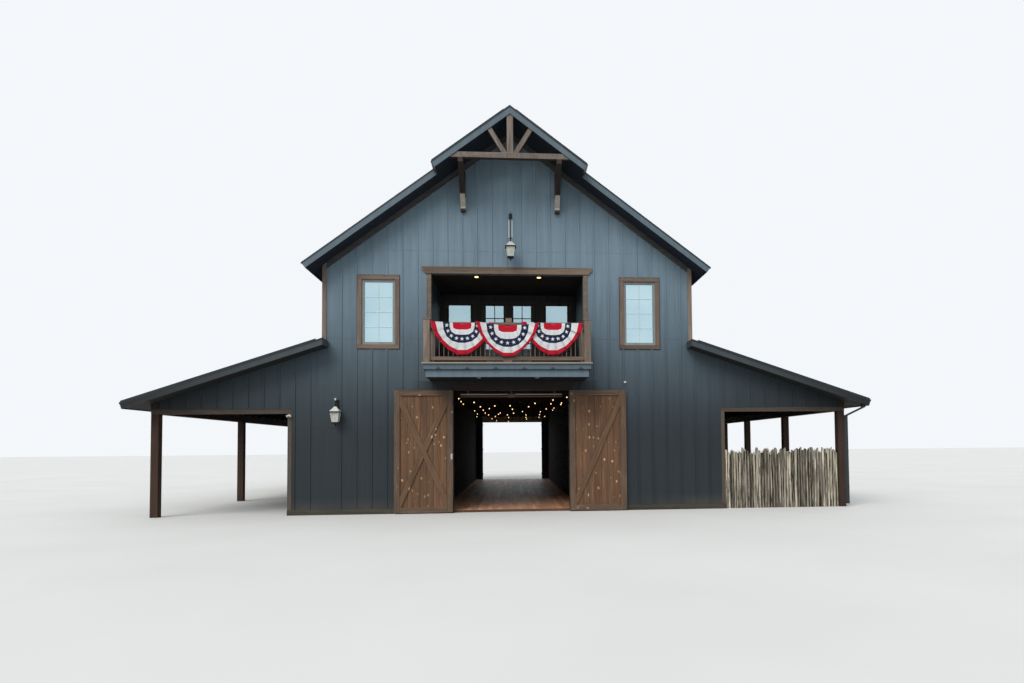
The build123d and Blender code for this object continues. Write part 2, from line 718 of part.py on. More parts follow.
def front_railing():
    """Front railing with the block that holds up the middle of its bottom rail."""
    length = 2 * NEWEL_X - NEWEL_SIZE
    y = NEWEL_FRONT_Y + NEWEL_SIZE / 2
    panel = Pos(BALCONY_CENTRE - length / 2, y, UPPER_FLOOR_TOP) * railing(length)
    return panel + block(BALCONY_CENTRE - RAIL_BLOCK_WIDTH / 2,
                         BALCONY_CENTRE + RAIL_BLOCK_WIDTH / 2, y - RAIL_SIZE / 2,
                         y + RAIL_SIZE / 2, UPPER_FLOOR_TOP, UPPER_FLOOR_TOP + BOTTOM_RAIL_GAP)


def side_railings():
    """Railings from the front newels back to the wall."""
    y0 = NEWEL_FRONT_Y + NEWEL_SIZE
    length = NEWEL_WALL_Y - y0
    panel = Rot(0, 0, 90) * railing(length)
    return [Pos(BALCONY_CENTRE + side * NEWEL_X, y0, UPPER_FLOOR_TOP) * panel for side in (-1, 1)]


def recess_side_walls():
    """Walls on both sides of the balcony's recess."""
    y0 = Y_FRONT + WALL
    half = BALCONY_OPENING / 2
    walls = left_right(block(half, half + RECESS_WALL, y0, y0 + BALCONY_DEPTH,
                             UPPER_FLOOR_TOP, BALCONY_HEAD))
    return [Pos(BALCONY_CENTRE, 0, 0) * wall for wall in walls]


def recess_back_wall():
    """Wall behind the balcony, with openings for the French doors and two windows."""
    y0 = Y_FRONT + WALL + BALCONY_DEPTH
    half = BALCONY_OPENING / 2 + RECESS_WALL
    wall = block(-half, half, y0, y0 + RECESS_WALL, UPPER_FLOOR_TOP, BALCONY_HEAD)
    wall -= block(-FRENCH_LEAF_WIDTH, FRENCH_LEAF_WIDTH, y0, y0 + RECESS_WALL,
                  UPPER_FLOOR_TOP, FRENCH_HEAD)
    for side in (-1, 1):
        x = side * RECESS_WINDOW_X
        wall -= block(x - RECESS_WINDOW_WIDTH / 2, x + RECESS_WINDOW_WIDTH / 2, y0,
                      y0 + RECESS_WALL, RECESS_WINDOW_SILL, FRENCH_HEAD)
    return Pos(BALCONY_CENTRE, 0, 0) * wall


def recess_ceiling():
    """Board ceiling over the recess."""
    half = BALCONY_OPENING / 2 + RECESS_WALL
    y0 = Y_FRONT + WALL
    return block(BALCONY_CENTRE - half, BALCONY_CENTRE + half, y0,
                 y0 + BALCONY_DEPTH + RECESS_WALL, BALCONY_HEAD, BALCONY_HEAD + CEILING_BOARD)


def recess_joinery():
    """French door leaves and window sashes, and the panes that they hold."""
    y0 = Y_FRONT + WALL + BALCONY_DEPTH + (RECESS_WALL - FRENCH_THICKNESS) / 2
    pane_y = y0 + (FRENCH_THICKNESS - PANE_THICKNESS) / 2
    frames = []
    panes = []
    for side in (-1, 1):
        near = BALCONY_CENTRE + min(0, side * FRENCH_LEAF_WIDTH)
        z0 = UPPER_FLOOR_TOP
        leaf = block(near, near + FRENCH_LEAF_WIDTH, y0, y0 + FRENCH_THICKNESS, z0, FRENCH_HEAD)
        lite = (near + FRENCH_STILE, near + FRENCH_LEAF_WIDTH - FRENCH_STILE,
                z0 + FRENCH_BOTTOM_RAIL, FRENCH_HEAD - FRENCH_STILE)
        frames.append(leaf - block(lite[0], lite[1], y0, y0 + FRENCH_THICKNESS, lite[2], lite[3]))
        panes.append(block(lite[0], lite[1], pane_y, pane_y + PANE_THICKNESS, lite[2], lite[3]))
        x = BALCONY_CENTRE + side * RECESS_WINDOW_X
        height = FRENCH_HEAD - RECESS_WINDOW_SILL
        sash = ring(RECESS_WINDOW_WIDTH, height, SASH_WIDTH, y0, y0 + FRENCH_THICKNESS)
        frames.append(Pos(x, 0, RECESS_WINDOW_SILL) * sash)
        half = RECESS_WINDOW_WIDTH / 2 - SASH_WIDTH
        panes.append(block(x - half, x + half, pane_y, pane_y + PANE_THICKNESS,
                           RECESS_WINDOW_SILL + SASH_WIDTH, FRENCH_HEAD - SASH_WIDTH))
    return frames, panes


recess_frames, recess_panes = recess_joinery()
save("balcony_deck", balcony_deck())
save("balcony_rim", balcony_rim())
save("balcony_surround", balcony_surround())
save("balcony_newels", balcony_newels())
save("balcony_railings", [front_railing()] + side_railings())
save("recess_side_walls", recess_side_walls())
save("recess_back_wall", recess_back_wall())
save("recess_ceiling", recess_ceiling())
save("recess_doors_and_windows", recess_frames)
save("window_panes", panes + recess_panes)


# Doors, drawn open, lying against the wall beside the doorway

DOOR_WIDTH = DOORWAY_WIDTH / 2 - DOOR_HINGE_GAP - DOOR_MEETING_GAP / 2
DOOR_TOP = DOORWAY_HEIGHT - DOOR_HEAD_GAP
DOOR_NEAR = DOORWAY_WIDTH / 2 + DOOR_HINGE_GAP
DOOR_BACK = Y_FRONT - 2 * HINGE_PIN_OFFSET
PIN_Y = Y_FRONT - HINGE_PIN_OFFSET
HINGE_HEIGHTS = [DOOR_GROUND_GAP + HINGE_INSET, (DOOR_GROUND_GAP + DOOR_TOP) / 2,
                 DOOR_TOP - HINGE_INSET]


def door_planks():
    """Plank slab of the right-hand door."""
    return block(DOOR_NEAR, DOOR_NEAR + DOOR_WIDTH, DOOR_BACK - DOOR_PLANKS, DOOR_BACK,
                 DOOR_GROUND_GAP, DOOR_TOP)


def brace(x0, z0, x1, z1, y0, y1):
    """Board between two points of the door's face."""
    length = math.hypot(x1 - x0, z1 - z0)
    nx = (z1 - z0) / length * DOOR_BOARD_WIDTH / 2
    nz = -(x1 - x0) / length * DOOR_BOARD_WIDTH / 2
    return prism_y([(x0 - nx, z0 - nz), (x0 + nx, z0 + nz), (x1 + nx, z1 + nz),
                    (x1 - nx, z1 - nz)], y0, y1)


def door_frame(crossed):
    """Frame boards of the right-hand door, with one diagonal brace or two crossed ones."""
    y1 = DOOR_BACK - DOOR_PLANKS
    y0 = y1 - DOOR_FRAME
    x0 = DOOR_NEAR
    x1 = DOOR_NEAR + DOOR_WIDTH
    board = DOOR_BOARD_WIDTH
    outer = block(x0, x1, y0, y1, DOOR_GROUND_GAP, DOOR_TOP)
    field = block(x0 + board, x1 - board, y0, y1, DOOR_GROUND_GAP + board, DOOR_TOP - board)
    frame = outer - field
    frame += brace(x0 + board / 2, DOOR_GROUND_GAP + board / 2, x1 - board / 2,
                   DOOR_TOP - board / 2, y0, y1) & field
    if crossed:
        frame += brace(x1 - board / 2, DOOR_GROUND_GAP + board / 2, x0 + board / 2,
                       DOOR_TOP - board / 2, y0, y1) & field
    return frame


def door_straps():
    """Strap hinges on the face that is turned to the wall while the door is open."""
    pin_x = DOORWAY_WIDTH / 2
    bore = HINGE_PIN_RADIUS + HINGE_PIN_CLEARANCE
    barrel_radius = bore + HINGE_BARREL_WALL
    straps = []
    for z in HINGE_HEIGHTS:
        strap = block(DOOR_NEAR, DOOR_NEAR + STRAP_LENGTH, DOOR_BACK, DOOR_BACK + HINGE_PLATE,
                      z - STRAP_HEIGHT / 2, z + STRAP_HEIGHT / 2)
        arm = block(pin_x, DOOR_NEAR + 3 * HINGE_PLATE, DOOR_BACK, DOOR_BACK + HINGE_PLATE,
                    z - STRAP_HEIGHT / 2, z + STRAP_HEIGHT / 2)
        web = block(pin_x - HINGE_PLATE / 2, pin_x + HINGE_PLATE / 2, DOOR_BACK, PIN_Y,
                    z - STRAP_HEIGHT / 2, z + STRAP_HEIGHT / 2)
        barrel = Pos(pin_x, PIN_Y, z) * Cylinder(barrel_radius, HINGE_BARREL_HEIGHT)
        hinge = strap + arm + web + barrel
        straps.append(hinge - Pos(pin_x, PIN_Y, z) * Cylinder(bore, 2 * HINGE_BARREL_HEIGHT))
    return straps


def door_pintles():
    """Fixed halves of the right-hand hinges: plate, arm and pin under each barrel."""
    pin_x = DOORWAY_WIDTH / 2
    pintles = []
    for z in HINGE_HEIGHTS:
        low = z - HINGE_BARREL_HEIGHT / 2 - HINGE_PIN_CLEARANCE
        pin_top = z + HINGE_BARREL_HEIGHT / 2
        arm_height = 2 * HINGE_PIN_RADIUS
        pin = Pos(pin_x, PIN_Y, (low + pin_top) / 2) * Cylinder(HINGE_PIN_RADIUS, pin_top - low)
        arm = block(pin_x - HINGE_PIN_RADIUS, pin_x + HINGE_PIN_RADIUS, PIN_Y - HINGE_PIN_RADIUS,
                    Y_FRONT, low - arm_height, low)
        plate = block(pin_x - HINGE_PIN_RADIUS, pin_x + 2 * STRAP_HEIGHT, Y_FRONT - HINGE_PLATE,
                      Y_FRONT, low - 2 * arm_height, low)
        pintles.append(pin + arm + plate)
    return pintles


def to_left(shape):
    """Mirror image for the left-hand door."""
    return mirror(shape, about=Plane.YZ)


def rear_door(crossed):
    """Right-hand door of the rear doorway, its planks and frame in one."""
    return at_rear(door_planks() + door_frame(crossed))


def both_sides(solids):
    """The solids of the right-hand hinges with those of the left-hand ones."""
    return solids + [to_left(solid) for solid in solids]


save("right_door_planks", door_planks())
save("right_door_frame", door_frame(False))
save("right_door_straps", door_straps())
save("left_door_planks", to_left(door_planks()))
save("left_door_frame", to_left(door_frame(True)))
save("left_door_straps", [to_left(strap) for strap in door_straps()])
front_pintles = both_sides(door_pintles())
save("door_pintles", front_pintles + [at_rear(pintle) for pintle in front_pintles])
save("rear_doors", [rear_door(False), to_left(rear_door(True))])
save("rear_door_straps", [at_rear(strap) for strap in both_sides(door_straps())])


# Lanterns


def lantern(top_z):
    """Cap, cage floor and finial of a lantern that hangs from z = top_z, and its glass."""
    cap_height = LANTERN_HEIGHT * 0.28
    glass_height = LANTERN_HEIGHT * 0.52
    half = LANTERN_WIDTH / 2
    roof = loft([Pos(0, 0, top_z - cap_height) * Rectangle(2 * half, 2 * half),
                 Pos(0, 0, top_z) * Rectangle(half * 0.3, half * 0.3)])
    glass_top = top_z - cap_height
    glass = loft([Pos(0, 0, glass_top - glass_height) * Rectangle(half, half),
                  Pos(0, 0, glass_top) * Rectangle(1.6 * half, 1.6 * half)])
    foot = Pos(0, 0, glass_top - glass_height - 15) * Box(1.1 * half, 1.1 * half, 30)
    finial = Pos(0, 0, glass_top - glass_height - 30 - 25) * Cylinder(12, 50)
    return roof, foot + finial, glass


def gable_lantern():
    """Lantern on a long arm under the peak of the front gable."""
    roof, foot, glass = lantern(GABLE_LANTERN_TOP)
    hook = block(-9, 9, -9, 9, GABLE_LANTERN_TOP, GABLE_ARM_TOP - 60)
    arm = block(-9, 9, -9, LANTERN_REACH, GABLE_ARM_TOP - 78, GABLE_ARM_TOP - 60)
    plate = block(-45, 45, LANTERN_REACH - LANTERN_BACKPLATE, LANTERN_REACH,
                  GABLE_ARM_TOP - GABLE_PLATE_HEIGHT, GABLE_ARM_TOP)
    place = Pos(0, Y_FRONT - LANTERN_REACH, 0)
    return place * (roof + hook + arm + plate), place * foot, place * glass


def wall_lantern():
    """Lantern on a hook on the wall to the left of the doorway."""
    roof, foot, glass = lantern(WALL_LANTERN_TOP)
    arm_top = WALL_LANTERN_TOP + WALL_HOOK_LENGTH
    hook = block(-9, 9, -9, 9, WALL_LANTERN_TOP, arm_top)
    reach = LANTERN_WIDTH / 2 + 60
    arm = block(-9, 9, -9, reach, arm_top - 18, arm_top)
    plate = block(-45, 45, reach - LANTERN_BACKPLATE, reach, arm_top + 40 - WALL_PLATE_HEIGHT,
                  arm_top + 40)
    place = Pos(-WALL_LANTERN_X, Y_FRONT - reach, 0)
    return place * (roof + hook + arm + plate), place * foot, place * glass


gable_parts = gable_lantern()
wall_parts = wall_lantern()
save("lantern_frames", [gable_parts[0], gable_parts[1], wall_parts[0], wall_parts[1]])
save("lantern_glass", [gable_parts[2], wall_parts[2]])


# Stake screen


def stake_screen():
    """Row of round stakes of uneven height on two rails, between jamb post and corner post."""
    x0 = WING_X + JAMB_POST_WIDTH
    x1 = POST_X - POST_SIZE / 2
    y = Y_FRONT + WALL / 2
    count = int((x1 - x0) / STAKE_DIAMETER)
    radius = (x1 - x0) / count / 2
    back = y + radius * 0.5
    screen = block(x0, x1, back, back + STAKE_RAIL_DEPTH, STAKE_HEIGHT * 0.22,
                   STAKE_HEIGHT * 0.22 + STAKE_RAIL_HEIGHT)
    screen += block(x0, x1, back, back + STAKE_RAIL_DEPTH, STAKE_HEIGHT * 0.75,
                    STAKE_HEIGHT * 0.75 + STAKE_RAIL_HEIGHT)
    for n in range(count):
        height = STAKE_HEIGHT + STAKE_VARIATION * math.sin(n * 2.4)
        stake = extrude(RegularPolygon(radius, 8, major_radius=False, rotation=22.5), height)
        screen += Pos(x0 + radius * (2 * n + 1), y, 0) * stake
    return screen


save("stake_screen", stake_screen())


# Half-round cloth fans


def fan(x, layer):
    """Half-round fan hung from the top rail, one layer further out for each step."""
    top = UPPER_FLOOR_TOP + RAIL_HEIGHT
    back = NEWEL_FRONT_Y + NEWEL_SIZE / 2 - RAIL_SIZE / 2 - FAN_GAP
    back -= layer * (FAN_THICKNESS + FAN_GAP)
    steps = 18
    rim = [(x + FAN_RADIUS * math.cos(math.pi * n / steps),
            top - FAN_DROP * math.sin(math.pi * n / steps)) for n in range(steps + 1)]
    return prism_y(rim, back - FAN_THICKNESS, back)


fan_pitch = NEWEL_X - NEWEL_SIZE / 2 - FAN_NEWEL_GAP - FAN_RADIUS
save("bunting", [fan(BALCONY_CENTRE - fan_pitch, 0), fan(BALCONY_CENTRE + fan_pitch, 0),
                 fan(BALCONY_CENTRE, 1)])


# Downspout


def downspout():
    """Rectangular pipe down the outside of the corner post, from an elbow under the eave."""
    x0 = POST_X + POST_SIZE / 2
    low = BEAM_UNDERSIDE - ELBOW_DROP
    pipe = block(x0, x0 + DOWNSPOUT_WIDTH, Y_FRONT, Y_FRONT + DOWNSPOUT_DEPTH,
                 DOWNSPOUT_GROUND_GAP, low)
    start = Vector(x0 + DOWNSPOUT_WIDTH / 2, Y_FRONT + DOWNSPOUT_DEPTH / 2, low)
    end_x = HALF + PORCH_REACH - ELBOW_EAVE_INSET
    high = porch_underside(end_x + DOWNSPOUT_WIDTH / 2) - ELBOW_LEG
    run = Vector(end_x, Y_FRONT - ELBOW_REACH, high) - start
    section = Pos(start) * Rectangle(DOWNSPOUT_WIDTH, DOWNSPOUT_DEPTH)
    elbow = extrude(section, amount=run.length, dir=run.normalized())
    inner = end_x - DOWNSPOUT_WIDTH / 2
    outer = end_x + DOWNSPOUT_WIDTH / 2
    leg = prism_y([(inner, high), (outer, high), (outer, porch_underside(outer)),
                   (inner, porch_underside(inner))],
                  Y_FRONT - ELBOW_REACH - DOWNSPOUT_DEPTH / 2,
                  Y_FRONT - ELBOW_REACH + DOWNSPOUT_DEPTH / 2)
    return pipe + elbow + leg


save("downspout", downspout())
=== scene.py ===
import math
import random

import bmesh
import bpy
from mathutils import Matrix, Vector


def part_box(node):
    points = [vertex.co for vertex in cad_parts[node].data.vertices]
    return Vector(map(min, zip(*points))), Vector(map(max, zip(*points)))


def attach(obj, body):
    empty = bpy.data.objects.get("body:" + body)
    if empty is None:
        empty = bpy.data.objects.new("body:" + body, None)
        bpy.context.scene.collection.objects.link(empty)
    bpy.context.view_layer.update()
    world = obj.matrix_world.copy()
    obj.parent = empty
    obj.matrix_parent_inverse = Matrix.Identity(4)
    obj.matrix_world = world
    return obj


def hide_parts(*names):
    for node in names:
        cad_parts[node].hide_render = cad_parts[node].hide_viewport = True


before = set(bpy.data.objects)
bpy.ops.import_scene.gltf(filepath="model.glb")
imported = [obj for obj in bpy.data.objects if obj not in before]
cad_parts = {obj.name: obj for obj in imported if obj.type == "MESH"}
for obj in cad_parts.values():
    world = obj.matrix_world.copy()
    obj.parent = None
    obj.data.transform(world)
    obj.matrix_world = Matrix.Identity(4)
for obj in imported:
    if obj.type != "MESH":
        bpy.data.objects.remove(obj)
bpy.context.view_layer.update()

random.seed(11)

# Directions, and the two sides of the barn
ACROSS, INWARD, UP = (1, 0, 0), (0, 1, 0), (0, 0, 1)
OUTWARD, DOWN = (0, -1, 0), (0, 0, -1)
SIDES = (-1, 1)

# Places that follow from the frame, in metres
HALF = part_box("side_walls")[1].x
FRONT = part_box("front_lower_walls")[0].y
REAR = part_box("rear_lower_walls")[1].y
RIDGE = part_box("main_roof_right")[1].z
CEILING, UPPER_FLOOR = (corner.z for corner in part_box("upper_floor"))
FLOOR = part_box("ground_floor")[1].z
DOOR_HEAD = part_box("front_lower_walls")[1].z
HEADER_LOW, HEADER_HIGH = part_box("door_headers")
BASE_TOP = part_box("base_boards")[1].z
BEAM_FOOT, BEAM_TOP = (corner.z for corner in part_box("porch_end_beams"))
PORCH_HALF, _, POST_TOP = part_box("porch_posts")[1]
JAMB_LOW, JAMB_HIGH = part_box("porch_jamb_posts")
PORCH_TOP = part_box("corner_boards")[0].z
SURROUND_LOW, SURROUND_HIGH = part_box("balcony_surround")
DECK_LOW, DECK_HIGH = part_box("balcony_deck")
RIM_LOW, RIM_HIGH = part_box("balcony_rim")
BACK_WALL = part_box("recess_back_wall")[0].y
BRACKET_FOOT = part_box("hood_brackets")[0].z
BUNTING_LOW, BUNTING_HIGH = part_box("bunting")
(_, HOOD_FRONT, _), (EAVE, REAR_RAKE, _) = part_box("main_fascia_right")
(_, PORCH_FRONT, _), (PORCH_EAVE, PORCH_REAR, _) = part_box("porch_fascias")

# Walls and roofs, repeated from the construction
WALL = 0.150
CORRIDOR_HALF = 1.950
MAIN_SLOPE = 9 / 12
PORCH_SLOPE = 4 / 12
ROOF_THICKNESS = 0.160
MAIN_START = FRONT - 0.610
HOOD_HALF_WIDTH = 2.060
PORCH_RETURN = 0.150
RAFTER_PITCH = 0.610
FRIEZE_WIDTH = 0.140
RECESS_CEILING = SURROUND_HIGH.z - 0.190

# Windows and doors, repeated from the construction
WINDOW_WIDTH = 1.130
WINDOW_HEIGHT = 2.020
WINDOW_SILL = 4.483
FRONT_WINDOW_X = 3.605
REAR_MIDDLE_WINDOW_X = 1.210
SIDE_WINDOW_SILL = 0.820
SIDE_WINDOWS = 3
CASING_WIDTH = 0.115
CASING_DEPTH = 0.028
SASH_WIDTH = 0.062
PANE_SETBACK = 0.045
DOORWAY_HALF = 1.585
DOOR_HINGE_SIDE = DOORWAY_HALF + 0.010
DOOR_WIDTH = 1.569
DOOR_LOW = 0.020
DOOR_HIGH = DOOR_HEAD - 0.012
DOOR_STANDOFF = 0.056
DOOR_PLANKS = 0.038
DOOR_FRAME = 0.032
DOOR_BOARD = 0.150
BALCONY_X = -0.085
BALCONY_OPENING_HALF = 2.100
FRENCH_LEAF = 0.860
FRENCH_STILE = 0.152
FRENCH_TOP = 0.030
FRENCH_BOTTOM = 0.260
FRENCH_HEAD = 6.245
RECESS_WINDOW_X = 1.520
RECESS_WINDOW_WIDTH = 0.790
RECESS_WINDOW_SILL = 4.875
RECESS_CASING = 0.090
FRENCH_CASING_TOP = FRENCH_HEAD + 0.110
GABLE_LANTERN = (0.0, FRONT - 0.330, 7.380)
WALL_LANTERN = (-4.690, FRONT - 0.200, 2.890)

# Porch posts: the ones between the corners stand at these distances from the front and rear
POST_SIZE = 0.200
POST_X = 9.355
POST_PLACES = {-1: (5.670,), 1: (3.925, 7.705)}
JAMB_WIDTH = 0.100
JAMB_INNER = JAMB_HIGH.x - JAMB_WIDTH

# Siding
CORNER_BOARD = 0.095
END_BOARD = 0.190
BEAM_OVERHANG = 0.036
BATTEN_PITCH = 0.4064
BATTEN_START = -0.122
BATTEN_WIDTH = 0.048
BATTEN_DEPTH = 0.019
BATTEN_EASE = 0.006
SEAM_FIRST = 2.322
SEAM_PITCH = 2.438
SEAM_HEIGHT = 0.008
SEAM_DEPTH = 0.004
SHORTEST_STRETCH = 0.030

# Camera, fitted to the corners, posts, windows and eaves of the photograph
CAMERA_PLACE = Vector((0.032, FRONT - 18.778, 1.762))
CAMERA_YAW = math.radians(4.582)
CAMERA_PITCH = math.radians(2.336)
CAMERA_ROLL = math.radians(-0.525)
FOCAL_PIXELS = 680.25
CENTRE_PIXEL = (567.25, 419.21)
IMAGE_SIZE = (1024, 683)
SENSOR_WIDTH = 36.0


def add(name, data):
    """Puts a new object into the scene."""
    item = bpy.data.objects.new(name, data)
    bpy.context.scene.collection.objects.link(item)
    return item


def add_mesh(name, points, faces, materials, finishes):
    """Adds a mesh object whose faces take the materials by number."""
    mesh = bpy.data.meshes.new(name)
    mesh.from_pydata([tuple(point) for point in points], [], faces)
    for material in materials:
        mesh.materials.append(material)
    mesh.polygons.foreach_set("material_index", finishes)
    return add(name, mesh)


def camera():
    """The photograph's viewpoint, lens and framing."""
    data = bpy.data.cameras.new("camera")
    data.sensor_width = SENSOR_WIDTH
    data.lens = FOCAL_PIXELS / IMAGE_SIZE[0] * SENSOR_WIDTH
    data.shift_x = (IMAGE_SIZE[0] / 2 - CENTRE_PIXEL[0]) / IMAGE_SIZE[0]
    data.shift_y = (CENTRE_PIXEL[1] - IMAGE_SIZE[1] / 2) / IMAGE_SIZE[0]
    data.clip_end = 500
    item = add("camera", data)
    item.matrix_world = (Matrix.Translation(CAMERA_PLACE) @ Matrix.Rotation(-CAMERA_YAW, 4, "Z")
                         @ Matrix.Rotation(math.pi / 2 + CAMERA_PITCH, 4, "X")
                         @ Matrix.Rotation(CAMERA_ROLL, 4, "Z"))
    bpy.context.scene.camera = item


camera()


# Materials, with colours in 8-bit sRGB


def srgb(red, green, blue):
    """Linear colour of an 8-bit sRGB one."""
    def linear(value):
        value /= 255
        return value / 12.92 if value <= 0.04045 else ((value + 0.055) / 1.055) ** 2.4
    return (linear(red), linear(green), linear(blue), 1.0)


class Nodes:
    """The nodes of a material or of the surroundings, with short names for the usual ones."""

    def __init__(self, holder):
        holder.use_nodes = True
        self.tree = holder.node_tree
        self.tree.nodes.clear()

    def put(self, value, socket):
        """Links an output to a socket or sets it to a value; three numbers are an sRGB colour."""
        if isinstance(value, bpy.types.NodeSocket):
            self.tree.links.new(value, socket)
        elif socket.type == "RGBA" and len(value) == 3:
            socket.default_value = srgb(*value)
        else:
            socket.default_value = value

    def node(self, kind, inputs=None, **settings):
        """Adds a node with its settings and inputs, and returns its outputs."""
        node = self.tree.nodes.new("ShaderNode" + kind)
        for name, value in settings.items():
            setattr(node, name, value)
        for name, value in (inputs or {}).items():
            self.put(value, node.inputs[name])
        return node.outputs

    def place(self):
        return self.node("TexCoord")["Object"]

    def board_place(self):
        """Each board's own coordinates, with X along the board."""
        return self.node("Attribute", attribute_name="grain")["Vector"]

    def island(self):
        """A random number for each separate board."""
        return self.node("NewGeometry")["Random Per Island"]

    def separate(self, vector):
        return self.node("SeparateXYZ", {0: vector})

    def scaled(self, vector, scale):
        sockets = {"Scale": scale, "Vector": vector}
        return self.node("Mapping", sockets, vector_type="POINT")["Vector"]

    def shifted(self, vector, amount):
        """The vector, moved by a different amount on each separate board."""
        chance = self.node("CombineXYZ", {axis: self.island() for axis in "XYZ"})[0]
        sockets = {0: chance, 1: (amount, amount * 1.7, amount * 0.6), 2: vector}
        return self.node("VectorMath", sockets, operation="MULTIPLY_ADD")[0]

    def noise(self, vector, scale, detail=3.0, roughness=0.5, distortion=0.0):
        sockets = {"Vector": vector, "Scale": scale, "Detail": detail, "Roughness": roughness,
                   "Distortion": distortion}
        return self.node("TexNoise", sockets)["Fac"]

    def math(self, operation, first, second=0.0):
        return self.node("Math", {0: first, 1: second}, operation=operation)[0]

    def plus(self, first, second):
        return self.math("ADD", first, second)

    def times(self, first, second):
        return self.math("MULTIPLY", first, second)

    def between(self, value, low, high, new_low=0.0, new_high=1.0, smooth=False):
        """The value, stretched from one range to another and clamped there."""
        sockets = {"Value": value, "From Min": low, "From Max": high, "To Min": new_low,
                   "To Max": new_high}
        kind = "SMOOTHSTEP" if smooth else "LINEAR"
        return self.node("MapRange", sockets, interpolation_type=kind)["Result"]

    def mix(self, factor, first, second, blend="MIX"):
        sockets = {"Factor": factor, "A": first, "B": second}
        return self.node("Mix", sockets, data_type="RGBA", blend_type=blend)["Result"]

    def dim(self, colour, value, *stretch, smooth=False):
        """The colour, multiplied by the value, stretched from one range to another."""
        return self.mix(1.0, colour, self.between(value, *stretch, smooth), "MULTIPLY")

    def shade(self, colour, factor, low, high):
        """The colour, multiplied by a grey from low to high as factor goes from 0 to 1."""
        return self.dim(colour, factor, 0.25, 0.75, low, high)

    def facing(self, *stretch):
        """How far each face looks up, stretched from one range to another."""
        return self.between(self.separate(self.node("NewGeometry")["True Normal"])[2], *stretch)

    def downward(self):
        """1 on faces that look down, 0 on the others."""
        return self.facing(-0.45, -0.25, 1.0, 0.0)

    def seen(self):
        """1 for what is seen directly, mirrored or through glass, 0 for what only gives light."""
        ray = self.node("LightPath")
        mirrored = self.math("MAXIMUM", ray["Is Glossy Ray"], ray["Is Transmission Ray"])
        return self.math("MAXIMUM", ray["Is Camera Ray"], mirrored)


class Shader(Nodes):
    """A node material round one Principled shader."""

    def __init__(self, name, roughness=0.6, metallic=0.0, specular=0.4):
        self.material = bpy.data.materials.new(name)
        super().__init__(self.material)
        surface = self.tree.nodes.new("ShaderNodeBsdfPrincipled")
        self.surface = surface.inputs
        self.node("OutputMaterial", {"Surface": surface.outputs[0]})
        self.cover(None, **{"Roughness": roughness, "Metallic": metallic,
                            "Specular IOR Level": specular})

    def cover(self, colour, height=None, relief=0.0, normal=None, **values):
        """Gives the surface its colour, relief and other values, and returns the material."""
        if colour:
            values["Base Color"] = colour
        if height:
            sockets = {"Height": height, "Distance": relief, "Strength": 1.0}
            if normal:
                sockets["Normal"] = normal
            values["Normal"] = self.node("Bump", sockets)["Normal"]
        for name, value in values.items():
            self.put(value, self.surface[name])
        return self.material


GRAIN_SCALES = {"X": (1.0, 14.0, 14.0), "Y": (14.0, 1.0, 14.0), "Z": (14.0, 14.0, 1.0)}
KNOT_THREADS = (168, 120, 84)
DUST = (118, 108, 94)


def wood(name, dark, light, axis=None, roughness=0.75, contrast=0.5, boards=0.25, specular=0.3,
         knots=None, knot_share=0.30, under=None):
    """Sawn timber. Its grain runs along an axis, or along each board where no axis is given."""
    shader = Shader(name, roughness, specular=specular)
    plain = shader.shifted(shader.place() if axis else shader.board_place(), 7.0)
    stretched = shader.scaled(plain, GRAIN_SCALES[axis or "X"])
    streaks = shader.noise(stretched, 1.3, 6.0, 0.65, 0.7)
    pores = shader.noise(stretched, 7.0, 3.0, 0.7)
    spread = 0.125 / contrast
    colour = shader.mix(shader.between(streaks, 0.5 - spread, 0.5 + spread), dark, light)
    colour = shader.shade(colour, pores, 0.82, 1.10)
    colour = shader.shade(colour, shader.noise(plain, 0.9), 0.88, 1.10)
    colour = shader.dim(colour, shader.island(), 0.0, 1.0, 1 - boards, 1 + boards)
    if knots:
        threads = shader.noise(shader.scaled(plain, (0.9, 20.0, 20.0)), 1.0, 2.0)
        colour = shader.mix(shader.between(threads, 0.60, 0.72, 0.0, 0.5), colour, KNOT_THREADS)
        cells = shader.node("TexVoronoi", {"Vector": shader.scaled(plain, (4.0, 5.5, 5.5)),
                                           "Scale": 1.0})
        distance = shader.plus(cells["Distance"],
                               shader.times(shader.noise(plain, 12.0, 2.0), 0.17))
        chance = shader.separate(cells["Color"])
        chosen = shader.times(shader.between(chance[0], 1 - knot_share, 1.02 - knot_share),
                              shader.between(chance[1], 0.0, 1.0, 0.35, 1.0))
        for low, high, strength, tone in ((0.24, 0.42, 0.45, dark), (0.18, 0.29, 1.0, knots)):
            spot = shader.between(distance, low, high, strength, 0.0)
            colour = shader.mix(shader.times(spot, chosen), colour, tone)
    # Painted shade: faces that look down take the under colour
    if under:
        colour = shader.mix(shader.downward(), colour, under)
    rough = shader.between(pores, 0.3, 0.7, roughness - 0.1, min(1.0, roughness + 0.1))
    height = shader.plus(streaks, shader.times(pores, 0.6))
    return shader.cover(colour, height, 0.004, Roughness=rough)


def balcony_shadow_mask(shader, place):
    """Mask of a painted shadow: 1 on the front wall just under the balcony, fading downwards and to
    both sides.
    """
    aside = shader.math("ABSOLUTE", shader.math("SUBTRACT", place[0], BALCONY_X))
    zone = shader.between(aside, 1.9, 2.7, 1.0, 0.0, True)
    for value, *stretch in ((place[2], 2.95, 3.50, 0.0, 1.0),
                            (place[2], RIM_LOW.z, RIM_LOW.z + 0.02, 1.0, 0.0),
                            (place[1], FRONT + 0.05, FRONT + 0.10, 1.0, 0.0)):
        zone = shader.times(zone, shader.between(value, *stretch, True))
    return zone


